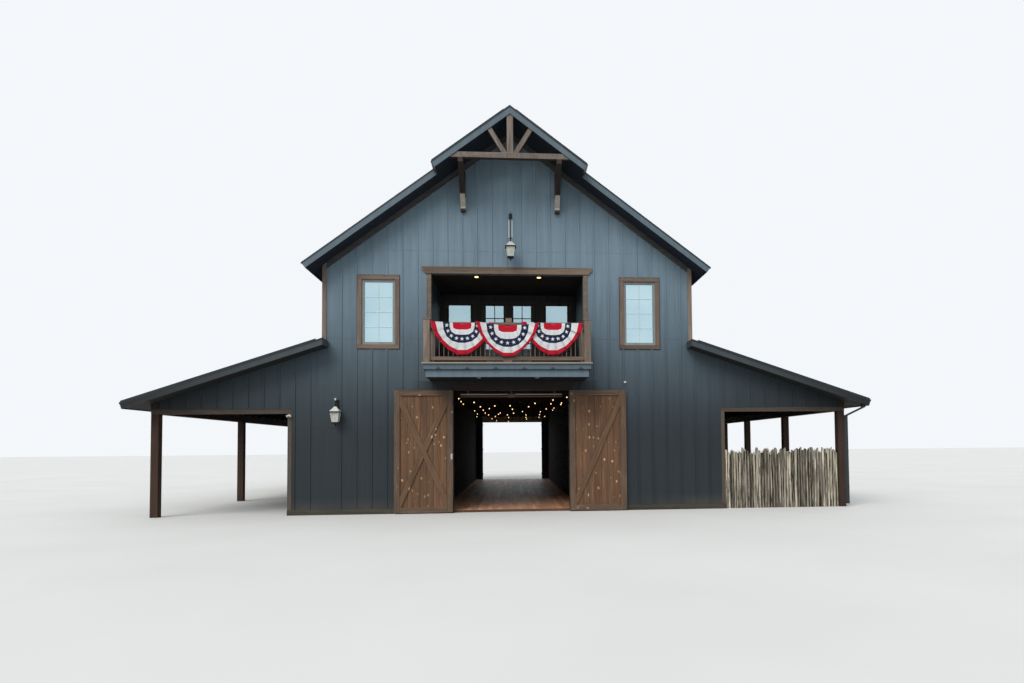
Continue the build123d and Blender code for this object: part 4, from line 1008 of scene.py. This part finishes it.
def roof_covering():
    """Standing seams on all the slopes, drip edges and the flashing along the side walls."""
    ribs, porch_ribs, drips, flashing = pieces(4)
    cap_wing = 0.165
    back, inset, lip, drop, tail = 0.004, 0.012, 0.006, 0.046, 0.080
    for side in SIDES:
        for y in steps(HOOD_FRONT + 0.03, REAR_RAKE - 0.02, BATTEN_PITCH):
            outer = HOOD_HALF_WIDTH if y < MAIN_START + 0.01 else EAVE
            seam_rib(ribs, side, main_top, (cap_wing, outer - inset), y)
        for y in steps(PORCH_FRONT + 0.03, PORCH_REAR - 0.02, BATTEN_PITCH):
            seam_rib(porch_ribs, side, porch_top, (HALF + 0.03, PORCH_EAVE - inset), y)
        for x0, x1, top, y, out in (
                (0.0, HOOD_HALF_WIDTH, main_top, HOOD_FRONT, -1),
                (HOOD_HALF_WIDTH, EAVE, main_top, MAIN_START, -1),
                (0.0, EAVE, main_top, REAR_RAKE, 1),
                (HALF - PORCH_RETURN, PORCH_EAVE, porch_top, PORCH_FRONT, -1),
                (HALF - PORCH_RETURN, PORCH_EAVE, porch_top, PORCH_REAR, 1)):
            front = y + out * lip
            slope_strip(drips, side, top, (x0, x1), (y, front), back, 0.050)
            slope_strip(drips, side, top, (x0, x1), (front, y - out * 0.070), back, back)
        for x, top, slope, y0, y1 in (
                (EAVE, main_top, MAIN_SLOPE, MAIN_START, REAR_RAKE),
                (HOOD_HALF_WIDTH, main_top, MAIN_SLOPE, HOOD_FRONT, MAIN_START),
                (PORCH_EAVE, porch_top, PORCH_SLOPE, PORCH_FRONT, PORCH_REAR)):
            angle = math.atan(slope)
            ahead = Vector((side * math.cos(angle), 0, -math.sin(angle)))
            down = Vector((-side * math.sin(angle), 0, -math.cos(angle)))
            corner = Vector((side * x, y0, top(x)))
            for outline in (((0, -back), (lip, -back), (lip, drop), (0, drop)),
                            ((0, -back), (-tail, -back), (-tail, 0), (0, 0))):
                drips.prism([corner + ahead * a + down * d for a, d in outline],
                            (0, y1 - y0, 0))
        flashing.prism([(side * (HALF + out), FRONT - 0.02, z) for out, z in (
            (0.0, PORCH_TOP - 0.01), (0.12, porch_top(HALF + 0.12) + 0.002),
            (0.12, porch_top(HALF + 0.12) + 0.008), (0.03, porch_top(HALF + 0.03) + 0.008),
            (0.03, PORCH_TOP + 0.15), (0.0, PORCH_TOP + 0.155))], (0, REAR - FRONT + 0.04, 0))
    ribs.make("main_roof_seams", "roof", ROOF_METAL)
    porch_ribs.make("porch_roof_seams", "roof", ROOF_METAL)
    drips.make("drip_edges", "roof", DRIP_METAL)
    flashing.make("wall_flashing", "roof", ROOF_METAL)


roof_covering()


# Balcony


def balcony_details():
    """Deck boards and edge strip, arched plates on the rim's joint, lamps under the rim."""
    boards, edge, humps, lamps = pieces(4)
    board, gap = 0.138, 0.004
    depth = DECK_HIGH.y - DECK_LOW.y
    count = int(depth / (board + gap))
    for n in range(count):
        y = DECK_LOW.y + n * depth / count
        boards.box((DECK_LOW.x, y, DECK_LOW.z),
                   (DECK_HIGH.x, y + depth / count - gap, DECK_HIGH.z))
    boards.make("deck_boards", "deck", DECK_WOOD, bevel=0.003, instead="balcony_deck")
    edge.box((DECK_LOW.x, DECK_LOW.y - 0.003, DECK_LOW.z - 0.004),
             (DECK_HIGH.x, DECK_LOW.y, DECK_HIGH.z - 0.012))
    edge.make("deck_edge_strip", "deck", DECK_EDGE)
    joint = RIM_HIGH.z - 0.146
    hump_half, hump_rise, hump_depth, hump_pitch = 0.058, 0.050, 0.020, 0.735
    for n in range(6):
        x = BALCONY_X + 0.058 + (n - 2.5) * hump_pitch
        angles = [math.pi * k / 12 for k in range(13)]
        humps.prism([(x + hump_half * math.cos(a), RIM_LOW.y, joint + hump_rise * math.sin(a))
                     for a in angles], (0, -hump_depth, 0), along=ACROSS)
    humps.box((RIM_LOW.x, RIM_LOW.y - 0.002, joint - 0.006), (RIM_HIGH.x, RIM_LOW.y, joint + 0.004))
    humps.make("rim_humps", "fascia", HUMP_PAINT, bevel=0.003)
    for side in SIDES:
        lamps.lathe([(0.060, 0.0), (0.060, 0.020), (0.045, 0.030), (0.0, 0.030)],
                    (BALCONY_X + side * 0.757, RIM_LOW.y + 0.16, RIM_LOW.z), 20, DOWN)
    lamps.make("rim_lamps", "lamp_glass", GREY_METAL, smooth=True)


def railing_details():
    """A block on the middle of the front rail, and caps on the newels."""
    caps = Piece()
    rail_y, rail_top = BUNTING_HIGH.y, BUNTING_HIGH.z
    caps.box((BALCONY_X - 0.055, rail_y + 0.010, rail_top),
             (BALCONY_X + 0.105, rail_y + 0.065, rail_top + 0.115))
    low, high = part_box("balcony_newels")
    size, lip = 0.165, 0.012
    top = high.z - 0.030
    for x in (low.x, high.x - size):
        for y in (low.y, high.y - size):
            caps.box((x - lip, y - lip, top), (x + size + lip, y + size + lip, top + 0.028),
                     along=ACROSS)
    caps.make("newel_caps", "trim", TRIM_BOARDS, bevel=0.006)


def in_recess(u, out, z):
    """Place on the back wall of the recess."""
    return Vector((BALCONY_X + u, BACK_WALL - out, z))


def framed_pane(frames, panes, u, low, width, head, stile, bottom, top):
    """Stiles, rails and the pane of one leaf or window in the recess."""
    half = width / 2
    depth = (-0.075, -0.025)
    inner = (u - half + stile, u + half - stile)
    for side in SIDES:
        wall_box(frames, in_recess, (u + side * half, u + side * (half - stile)), depth,
                 (low, head))
    wall_box(frames, in_recess, inner, depth, (low, low + bottom))
    wall_box(frames, in_recess, inner, depth, (head - top, head))
    wall_box(panes, in_recess, inner, (-0.046, -0.041), (low + bottom, head - top))


def recess_doors():
    """Leaves, windows, bars, casings, handles and downlights of the balcony's recess."""
    grids, joinery, panes, handles, casings, lights = pieces(6)
    lite_low = UPPER_FLOOR + FRENCH_BOTTOM
    lite = (FRENCH_LEAF - 2 * FRENCH_STILE, FRENCH_HEAD - FRENCH_TOP - lite_low)
    for side in SIDES:
        u = side * FRENCH_LEAF / 2
        bars(grids, in_recess, u, lite_low, *lite, 2, 5, 0.026, (-0.040, -0.024))
        framed_pane(joinery, panes, u, UPPER_FLOOR + 0.01, FRENCH_LEAF - 0.006, FRENCH_HEAD,
                    FRENCH_STILE, FRENCH_BOTTOM - 0.01, FRENCH_TOP)
        framed_pane(joinery, panes, side * RECESS_WINDOW_X, RECESS_WINDOW_SILL,
                    RECESS_WINDOW_WIDTH, FRENCH_HEAD, 0.060, 0.062, 0.022)
        u = side * 0.055
        z = UPPER_FLOOR + 1.02
        wall_box(handles, in_recess, (u - 0.022, u + 0.022), (-0.025, -0.018), (z - 0.1, z + 0.1))
        handles.tube([in_recess(u, -0.02, z), in_recess(u, 0.03, z),
                      in_recess(side * 0.075, 0.04, z),
                      in_recess(side * 0.165, 0.04, z - 0.005)], 0.008)
        casing(casings, in_recess, side * RECESS_WINDOW_X, RECESS_WINDOW_SILL - RECESS_CASING,
               RECESS_WINDOW_WIDTH + 2 * RECESS_CASING,
               FRENCH_HEAD - RECESS_WINDOW_SILL + 2 * RECESS_CASING, RECESS_CASING, 0.022)
        wall_box(casings, in_recess, (side * FRENCH_LEAF, side * (FRENCH_LEAF + RECESS_CASING)),
                 (0.0, 0.022), (UPPER_FLOOR, FRENCH_HEAD))
        lights.lathe([(0.055, 0.0), (0.055, 0.014), (0.040, 0.018), (0.0, 0.018)],
                     (BALCONY_X + side * 0.875, FRONT + 0.27, RECESS_CEILING - 0.01), 20, DOWN)
    reach = FRENCH_LEAF + RECESS_CASING
    wall_box(casings, in_recess, (-reach, reach), (0.0, 0.024), (FRENCH_HEAD, FRENCH_CASING_TOP))
    joinery.make("recess_frames", "trim", JOINERY, bevel=0.003, instead="recess_doors_and_windows")
    panes.make("recess_panes", "glass", GLASS)
    grids.make("french_door_bars", "trim", JOINERY, bevel=0.002)
    casings.make("recess_casings", "trim", JOINERY, bevel=0.003)
    handles.make("french_door_handles", "iron", IRON, smooth=True)
    lights.make("recess_downlights", "lamp_glass", DOWNLIGHT, smooth=True)


def recess_boards():
    """Battens on the back wall of the recess, and boards under its ceiling."""
    battens, ceiling = pieces(2)
    for u in batten_places(-BALCONY_OPENING_HALF + 0.03, BALCONY_OPENING_HALF - 0.03, 0.0):
        blocked = [(UPPER_FLOOR, FRENCH_CASING_TOP)] if abs(u) < FRENCH_LEAF + 0.12 else []
        if abs(abs(u) - RECESS_WINDOW_X) < RECESS_WINDOW_WIDTH / 2 + 0.12:
            blocked.append((RECESS_WINDOW_SILL - RECESS_CASING, FRENCH_HEAD + RECESS_CASING))
        for a, b in open_stretches(UPPER_FLOOR, RECESS_CEILING, blocked):
            batten(battens, in_recess, u, a, b)
    battens.make("battens_recess", "siding", RECESS_BACK_SHADE)
    board = 0.120
    for y in steps(FRONT + WALL, BACK_WALL - 0.02, board):
        ceiling.box((BALCONY_X - BALCONY_OPENING_HALF, y, RECESS_CEILING - 0.010),
                    (BALCONY_X + BALCONY_OPENING_HALF, min(y + board - 0.004, BACK_WALL),
                     RECESS_CEILING))
    ceiling.make("recess_ceiling_boards", "interior", SHADED_INNER_WOOD, bevel=0.002)


balcony_details()
railing_details()
recess_doors()
recess_boards()


# Bunting


FAN_HALF_WIDTH = 0.820
FAN_DROP = 0.880
FAN_PLEATS = 9
FAN_FLAP = 0.85
FAN_OVERRUN = 0.07
FAN_DEPTH = 0.030
FAN_HEART = 0.02
CLOTH_THICKNESS = 0.0016
STAR_SIZE = 0.056
RED, WHITE, NAVY = range(3)
SIDE_RINGS = [(0.20, RED), (0.355, WHITE), (0.60, NAVY), (0.83, WHITE), (1.00, RED)]
MIDDLE_RINGS = [(0.21, RED), (0.42, WHITE), (0.67, NAVY), (0.87, WHITE), (1.00, RED)]


def fan_ring(share, angle):
    """Place on a ring of a fan, in half widths and drops: square at the heart, pointed below."""
    power = 1.5 + 3.5 * (1 - share) ** 1.5 + 16 * max(0.0, 0.33 - share)
    across = math.cos(angle)
    fall = abs(math.sin(angle))
    norm = (abs(across) ** power + fall ** power) ** (1 / power)
    widening = 1 + 5 * max(0.0, 0.5 - share) ** 2
    return Vector((share * across / norm * widening, share * fall / norm))


def fan_point(centre_x, y, top, sag, share, fold):
    """Point of a hanging fan: each knife pleat is flat up to its flap, which turns back."""
    pleat = min(int(fold), FAN_PLEATS - 1)
    part = fold - pleat
    start, end = (fan_ring(share, math.pi * n / FAN_PLEATS) for n in (pleat, pleat + 1))
    if part <= FAN_FLAP:
        rise = part / FAN_FLAP
        along = (1 + FAN_OVERRUN) * rise
    else:
        rise = 1 - (part - FAN_FLAP) / (1 - FAN_FLAP)
        along = 1 + FAN_OVERRUN * rise
    place = start + (end - start) * along
    droop = sag * (1 - min(1.0, place.x ** 2)) * (1 - 0.35 * place.y)
    ripple = 0.003 * share * math.sin(9 * share + 2.3 * pleat)
    return Vector((centre_x + FAN_HALF_WIDTH * place.x, y - FAN_DEPTH * share * rise + ripple,
                   top - droop - FAN_DROP * place.y))


def star(piece, point, share, fold):
    """Five-pointed star laid on the cloth at a share of the fan and a place across its folds."""
    radial = (point(share + 0.05, fold) - point(share - 0.05, fold)).length / 0.1
    level = (point(share, fold + 0.2) - point(share, fold - 0.2)).length / 0.4
    front = []
    for n in range(10):
        reach = STAR_SIZE if n % 2 == 0 else STAR_SIZE * 0.42
        angle = n * math.pi / 5
        spot = point(share - reach * math.cos(angle) / radial,
                     fold + reach * math.sin(angle) / level)
        front.append(spot - Vector((0, 0.004, 0)))
    piece.loft([front, [spot + Vector((0, 0.0015, 0)) for spot in front]], ACROSS)


def fan(name, centre_x, y, top, sag, bands):
    """Pleated half-round fan with coloured rings and a row of stars on the dark one."""
    def point(share, fold):
        return fan_point(centre_x, y, top, sag, share, fold)

    shares = [FAN_HEART]
    finishes = []
    for share, finish in bands:
        start = shares[-1]
        shares += [start + (share - start) * k / 3 for k in (1, 2, 3)]
        finishes += [finish] * 3
    folds = []
    for pleat in range(FAN_PLEATS):
        folds += [pleat + FAN_FLAP * k / 4 for k in range(5)] + [pleat + (1 + FAN_FLAP) / 2]
    folds.append(FAN_PLEATS)
    across = len(folds)
    cells = [(row, k) for row in range(len(finishes)) for k in range(across - 1)]
    corners = [row * across + k for row, k in cells]
    faces = [(a, a + 1, a + 1 + across, a + across) for a in corners]
    item = add_mesh(name, [point(share, fold) for share in shares for fold in folds], faces,
                    CLOTHS, [finishes[row] for row, _ in cells])
    mesh = item.data
    mesh.polygons.foreach_set("use_smooth", [True] * len(faces))
    mesh.set_sharp_from_angle(angle=math.radians(35))
    # Painted shade, darkest in the valleys of the pleats
    creases = [share * max(0.0, 1 - min(fold % 1, 1.15 * (1 - fold % 1)) / 0.32)
               for share in shares for fold in folds]
    mesh.attributes.new("crease", "FLOAT", "POINT").data.foreach_set("value", creases)
    thick = item.modifiers.new("cloth", "SOLIDIFY")
    thick.thickness = CLOTH_THICKNESS
    thick.offset = 0.0
    register(item, instead="bunting")
    stars = Piece()
    for pleat in range(FAN_PLEATS):
        star(stars, point, (bands[1][0] + bands[2][0]) / 2, pleat + FAN_FLAP / 2)
    badge = stars.make(name + "_stars", "bunting", CLOTHS[WHITE])


def bunting():
    """Three fans along the rail, the middle one in front of the others and sagging."""
    left, right = BUNTING_LOW.x + FAN_HALF_WIDTH, BUNTING_HIGH.x - FAN_HALF_WIDTH
    y, top = BUNTING_HIGH.y - 0.004, BUNTING_HIGH.z
    fan("bunting_left", left, y, top, 0.02, SIDE_RINGS)
    fan("bunting_right", right, y, top, 0.02, SIDE_RINGS)
    fan("bunting_middle", (left + right) / 2, y - 0.036, top, 0.085, MIDDLE_RINGS)


bunting()


# Doors


def brace(start, end, width, low, high):
    """Outline and direction of a diagonal board, cut to the inner edges of its frame."""
    start, end = Vector(start), Vector(end)
    along = (end - start).normalized()
    across = Vector((along.y, -along.x)) * width / 2
    outline = [start - across - along, start + across - along, end + across + along,
               end - across + along]
    for axis, bound, sign in ((0, low[0], 1), (0, high[0], -1), (1, low[1], 1), (1, high[1], -1)):
        cut = []
        for here, there in zip(outline, outline[1:] + outline[:1]):
            inside, next_inside = (sign * (spot[axis] - bound) >= 0 for spot in (here, there))
            if inside:
                cut.append(here)
            if inside != next_inside:
                cut.append(here.lerp(there, (bound - here[axis]) / (there[axis] - here[axis])))
        outline = cut
    return outline, along


def door(sign, face, out):
    """Planks and frame of one door: upright planks behind stiles, rails and one or two braces."""
    planks, boards = pieces(2)
    back, middle, front = (face + out * depth for depth in (0, DOOR_PLANKS,
                                                            DOOR_PLANKS + DOOR_FRAME))

    def board(piece, points, y0, y1, along, finish=0):
        outline = [(sign * (DOOR_HINGE_SIDE + a), y0, z) for a, z in points]
        piece.prism(outline, (0, y1 - y0, 0), (sign * along[0], 0, along[1]), finish)

    def rectangle(a, b, low, high):
        return [(a, low), (b, low), (b, high), (a, high)]

    count, joint, gap, inset = 9, 0.002, 0.0015, 0.0008
    for n in range(count):
        a = n * DOOR_WIDTH / count + (joint if n else 0.0)
        b = (n + 1) * DOOR_WIDTH / count - (joint if n < count - 1 else 0.0)
        board(planks, rectangle(a, b, DOOR_LOW, DOOR_HIGH), back, middle, (0, 1))
    for a in (0.0, DOOR_WIDTH - DOOR_BOARD):
        board(boards, rectangle(a, a + DOOR_BOARD, DOOR_LOW, DOOR_HIGH), middle, front, (0, 1))
    left, right = DOOR_BOARD + gap, DOOR_WIDTH - DOOR_BOARD - gap
    for z in (DOOR_LOW, DOOR_HIGH - DOOR_BOARD):
        board(boards, rectangle(left, right, z, z + DOOR_BOARD), middle, front, (1, 0))
    inner = ((left, DOOR_LOW + DOOR_BOARD + gap), (right, DOOR_HIGH - DOOR_BOARD - gap))
    half = DOOR_BOARD / 2
    ends = [half, DOOR_WIDTH - half]
    for start, end in [ends, ends[::-1]][:2 if sign < 0 else 1]:
        outline, along = brace((start, DOOR_LOW + half), (end, DOOR_HIGH - half), DOOR_BOARD,
                               *inner)
        cut = 0.0 if start < end else out * inset
        board(boards, outline, middle + cut, front - cut, along, 1)
    return planks, boards


def doors():
    """The two moving doors at the front and the two still ones at the rear, with their fittings."""
    front, rear = (FRONT - DOOR_STANDOFF, -1), (REAR + DOOR_STANDOFF, 1)
    for name, body, sign, wall, planks_node, frame_node in (
            ("left_door", "left_door", -1, front, "left_door_planks", "left_door_frame"),
            ("right_door", "right_door", 1, front, "right_door_planks", "right_door_frame"),
            ("rear_left_door", "building", -1, rear, "rear_doors", None),
            ("rear_right_door", "building", 1, rear, "rear_doors", None)):
        planks, boards = door(sign, *wall)
        planks.make(name + "_boards", "door_wood", DOOR_WOOD, body=body, bevel=0.003,
                    instead=planks_node)
        boards.make(name + "_frame_boards", "door_wood", DOOR_FRAME_WOOD, BRACE_WOOD, body=body,
                    bevel=0.003, instead=frame_node)
    latch, fitting = pieces(2)
    x = -DOOR_HINGE_SIDE - 0.02
    y = FRONT - DOOR_STANDOFF - DOOR_PLANKS - DOOR_FRAME
    latch.box((x - 0.035, y - 0.006, 1.455), (x + 0.015, y, 1.605))
    latch.tube([(x - 0.01, y - 0.006, 1.58), (x - 0.01, y - 0.045, 1.57),
                (x - 0.01, y - 0.045, 1.49), (x - 0.01, y - 0.006, 1.48)], 0.007)
    latch.make("left_door_pull", "hardware", PALE_METAL, body="left_door", bevel=0.001)
    x = DOOR_HINGE_SIDE + DOOR_WIDTH
    fitting.box((x - 0.030, FRONT - 0.045, 3.530), (x + 0.030, FRONT, 3.580))
    fitting.lathe([(0.020, 0.0), (0.018, 0.012)], (x, FRONT - 0.045, 3.555), axis=OUTWARD)
    fitting.make("wall_fitting", "hardware", WHITE_METAL, bevel=0.004)


doors()


# Corridor


def corridor_boards():
    """Floor boards, wall boards and ceiling joists."""
    floor, walls, joists = pieces(3)
    start, end = FRONT + WALL, REAR - WALL
    width, length, course, lining = 0.140, 3.66, 0.185, CORRIDOR_HALF - 0.012
    top, joist_half, joist_depth = FLOOR + 0.004, 0.022, 0.140
    for x in steps(-CORRIDOR_HALF, CORRIDOR_HALF - 0.01, width):
        y = start
        stop = y + random.uniform(1.0, 3.6)
        while y < end - 0.01:
            stop = min(stop, end)
            floor.box((x, y, FLOOR), (min(x + width - 0.003, CORRIDOR_HALF), stop - 0.002, top),
                      along=INWARD)
            y, stop = stop, stop + length
    floor.make("corridor_floor_boards", "floor", FLOOR_WOOD)
    for side in SIDES:
        for z in steps(top, CEILING - 0.02, course):
            walls.box((side * CORRIDOR_HALF, start, z),
                      (side * lining, end, min(z + course, CEILING) - 0.004), along=INWARD)
    walls.make("corridor_wall_boards", "interior", SHADED_CORRIDOR_WOOD)
    for y in steps(FRONT + 0.75, REAR - 0.3, RAFTER_PITCH):
        joists.box((-lining, y - joist_half, CEILING - joist_depth),
                   (lining, y + joist_half, CEILING))
    joists.make("corridor_joists", "interior", CEILING_WOOD, bevel=0.003)


def corridor_fittings():
    """Track inside the front doorway, board over the rear one, and the hanging bulbs."""
    track, header, bulbs, holders = pieces(4)
    y = FRONT + 0.23
    for half, deep, low, high, finish in ((1.41, 0.03, 3.225, 3.257, 0),
                                          (1.41, 0.03, 3.165, 3.195, 1),
                                          (0.11, 0.04, 3.158, 3.254, 1)):
        track.box((-half, y - deep, low), (half, y + deep, high), finish=finish)
    for x in (-1.2, 0.0, 1.2):
        track.box((x - 0.02, y - 0.02, 3.190), (x + 0.02, y + 0.02, CEILING), finish=1)
    track.make("doorway_track", "hardware", TRACK_LIGHT, TRACK_DARK, bevel=0.003)
    # The header's pale colour is painted light
    header.box((-1.62, REAR - WALL - 0.045, 3.12), (1.62, REAR - WALL, 3.44))
    header.make("rear_inner_header", "trim", PAINTED_LIGHT_WOOD, bevel=0.004)
    hang, sag, reach, pitch = 3.45, 0.30, 1.85, 0.6
    for distance in (3.4, 5.4, 7.6, 10.0, 12.8, 16.0):
        for n in range(7):
            x = max(-reach, min(reach, (n - 3) * pitch + random.uniform(-0.22, 0.22)))
            y = FRONT + distance + random.uniform(-0.7, 0.7)
            z = hang - sag * (1 - (x / 1.9) ** 2) + random.uniform(-0.06, 0.05)
            holders.tube([(x, y, CEILING - 0.12), (x, y, z + 0.03)], 0.004, 6)
            holders.lathe([(0.014, 0.0), (0.014, 0.035)], (x, y, z), 8)
            bulbs.lathe([(0.007, 0.0), (0.015, 0.010), (0.018, 0.024), (0.012, 0.036),
                         (0.002, 0.042)], (x, y, z), 10, DOWN)
    bulbs.make("corridor_bulbs", "lamp_glass", BULB, smooth=True)
    holders.make("corridor_bulb_holders", "iron", IRON)


corridor_boards()
corridor_fittings()


# Lanterns


def lantern_dressing():
    """Cap sheets, rims, ribs, finials and hangers of the lanterns."""
    dark, pale = pieces(2)
    half, cap_height, glass_height = 0.140, 0.1456, 0.2704
    up = Vector(UP)
    corners = [Vector(corner) * half for corner in ((-1, -1, 0), (1, -1, 0), (1, 1, 0), (-1, 1, 0))]
    for x, y, top in (GABLE_LANTERN, WALL_LANTERN):
        rim = top - cap_height
        foot = rim - glass_height
        centre = Vector((x, y, 0))
        pale.lathe([(half * 0.93 * math.sqrt(2), 0.022),
                    (0.026 * math.sqrt(2), cap_height + 0.006)], (x, y, rim), 4, turn=math.pi / 4)
        dark.lathe([(0.012, 0.0), (0.022, 0.012), (0.014, 0.030), (0.018, 0.045),
                    (0.004, 0.060)], (x, y, top), 12)
        dark.lathe([(0.010, 0.0), (0.024, 0.020), (0.012, 0.042), (0.003, 0.060)],
                   (x, y, foot - 0.048), 12, DOWN)
        for here, there in zip(corners, corners[1:] + corners[:1]):
            pale.tube([centre + here * 0.80 + up * rim, centre + here * 0.50 + up * foot],
                      0.010, 6)
            for share, z, radius in ((1.0, rim + 0.002, 0.012), (0.55, foot - 0.004, 0.010)):
                dark.tube([centre + corner * share + up * z for corner in (here, there)],
                          radius, 6)
    x, y, top = GABLE_LANTERN
    low, high = top + 0.12, top + 0.60
    pale.tube([(x - 0.045, y, low), (x - 0.045, y, high), (x + 0.045, y, high),
               (x + 0.045, y, low), (x - 0.045, y, low)], 0.011)
    dark.lathe([(0.006, 0.0), (0.026, 0.012), (0.032, 0.030), (0.026, 0.048), (0.006, 0.060)],
               (x, y, top + 0.07), 14)
    x, y, top = WALL_LANTERN
    pale.lathe([(0.012, 0.0), (0.027, 0.015), (0.030, 0.035), (0.024, 0.058), (0.008, 0.070)],
               (x, y, top + 0.165), 14)
    dark.make("lantern_ribs", "iron", IRON, smooth=True)
    pale.make("lantern_sheets", "iron", PALE_METAL, smooth=True)


lantern_dressing()


# Porches


def porch_details():
    """Rafters under the porch roofs, the flood lamp, and the downspout's straps and collar."""
    rafters, lamp, straps, collar = pieces(4)
    for side in SIDES:
        for y in steps(FRONT + 0.30, REAR - 0.2, RAFTER_PITCH):
            slope_strip(rafters, side, porch_soffit, (HALF, PORCH_HALF - 0.05),
                        (y - 0.02, y + 0.02), 0.0, 0.14)
    # Their near-black colour is painted shade
    rafters.make("porch_rafters", "interior", SHADED_SOFFIT_WOOD)
    x, z = JAMB_LOW.x + 0.05, BEAM_FOOT - 0.05
    lamp.lathe([(0.026, 0.0), (0.026, 0.020), (0.012, 0.028)], (x, FRONT - 0.022, z), 14, OUTWARD)
    for turn in SIDES:
        lamp.lathe([(0.012, 0.0), (0.027, 0.026), (0.029, 0.056), (0.025, 0.060)],
                   (x + turn * 0.015, FRONT - 0.048, z), 14, (turn * 0.55, -0.7, -0.45))
    lamp.make("flood_lamp", "lamp_glass", WHITE_METAL, smooth=True)
    x = PORCH_HALF
    for z in (0.55, 1.55, 2.35):
        straps.box((x - 0.035, FRONT - 0.003, z), (x + 0.103, FRONT, z + 0.03))
        straps.box((x + 0.100, FRONT - 0.003, z), (x + 0.103, FRONT + 0.075, z + 0.03))
    straps.make("downspout_straps", "hardware", SPOUT_METAL)
    for z in (0.100, 0.108, 0.116):
        collar.box((x - 0.002, FRONT - 0.004, z), (x + 0.104, FRONT + 0.079, z + 0.004))
    collar.make("downspout_collar", "hardware", SPOUT_METAL)


def stake(piece, x, y, radius, height):
    """Round stake, a little crooked and uneven in thickness, with a slanting top."""
    lean = random.uniform(-0.010, 0.010)
    bend, sway, twist = (random.uniform(0, 6.28) for _ in range(3))
    rings = []
    for n in range(9):
        t = n / 8
        swell = radius * (1 - 0.08 * t + 0.05 * math.sin(5 * t + bend))
        cx = x + lean * t + 0.005 * math.sin(4 * t + sway)
        cy = y + 0.005 * math.sin(3 * t + twist)
        points = []
        for angle in [2 * math.pi * k / 10 for k in range(10)]:
            reach = swell * (1 + 0.09 * math.sin(3 * angle + sway)
                             + 0.05 * math.sin(5 * angle + twist + 2 * t))
            tip = 0.03 * math.cos(angle + bend) if n == 8 else 0.0
            points.append((cx + reach * math.cos(angle), cy + reach * math.sin(angle),
                           height * t + tip))
        rings.append(points)
    piece.loft(rings, UP)


def stakes():
    """Two staggered rows of uneven cedar stakes, tied to two rails behind them."""
    piece, rails = pieces(2)
    start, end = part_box("stake_screen")[0].x, PORCH_HALF - POST_SIZE
    spacing = 0.080
    count = int((end - start) / spacing)
    pitch = (end - start) / count
    for first, shift, depth, radii, height, spread in (
            (0, 0.5, 0.066, (0.035, 0.043), 1.61, (-0.090, 0.070)),
            (1, 0.0, 0.112, (0.030, 0.036), 1.56, (-0.100, 0.050))):
        for n in range(first, count):
            stake(piece, start + pitch * (n + shift), FRONT + depth, random.uniform(*radii),
                  height + random.uniform(*spread))
    piece.make("cedar_stakes", "stakes", BARK, smooth=True, instead="stake_screen")
    for z in (0.3696, 1.26):
        rails.box((start, FRONT + 0.142, z), (end, FRONT + 0.182, z + 0.06))
    rails.make("stake_rails", "stakes", OLD_WOOD, bevel=0.003)


porch_details()
stakes()


# Floor, backdrop and light


def studio():
    """Pale floor, pale surroundings and soft light."""
    shader = Shader("floor", 0.85, specular=0.2)
    tone = shader.between(shader.noise(shader.place(), 0.25), 0.3, 0.7)
    pale = shader.mix(tone, (222, 221, 217), (228, 227, 224))
    material = shader.cover(shader.mix(shader.seen(), (140, 138, 130), pale))
    reach = 220.0
    item = add_mesh("floor", [(-reach, -reach, 0), (reach, -reach, 0), (reach, reach, 0),
                              (-reach, reach, 0)], [(0, 1, 2, 3)], [material], [0])
    item.location.z = -0.002
    world = bpy.data.worlds.new("surroundings")
    nodes = Nodes(world)
    light, backdrop = (
        nodes.node("Background", {"Color": colour, "Strength": strength})[0]
        for colour, strength in (((0.86, 0.93, 1.0, 1), 0.72), ((0.90, 0.93, 0.96, 1), 1.0)))
    mixed = nodes.node("MixShader", {0: nodes.seen(), 1: light, 2: backdrop})[0]
    nodes.node("OutputWorld", {"Surface": mixed})
    bpy.context.scene.world = world
    lamp = bpy.data.lights.new("sun", "SUN")
    lamp.energy = 1.9
    lamp.angle = math.radians(40)
    lamp.color = (1.0, 0.97, 0.92)
    sun = add("sun", lamp)
    sun.rotation_euler = Vector((-0.45, -0.75, 0.85)).to_track_quat("Z", "Y").to_euler()


studio()
bpy.context.scene.view_settings.view_transform = "Standard"

bpy.context.view_layer.update()
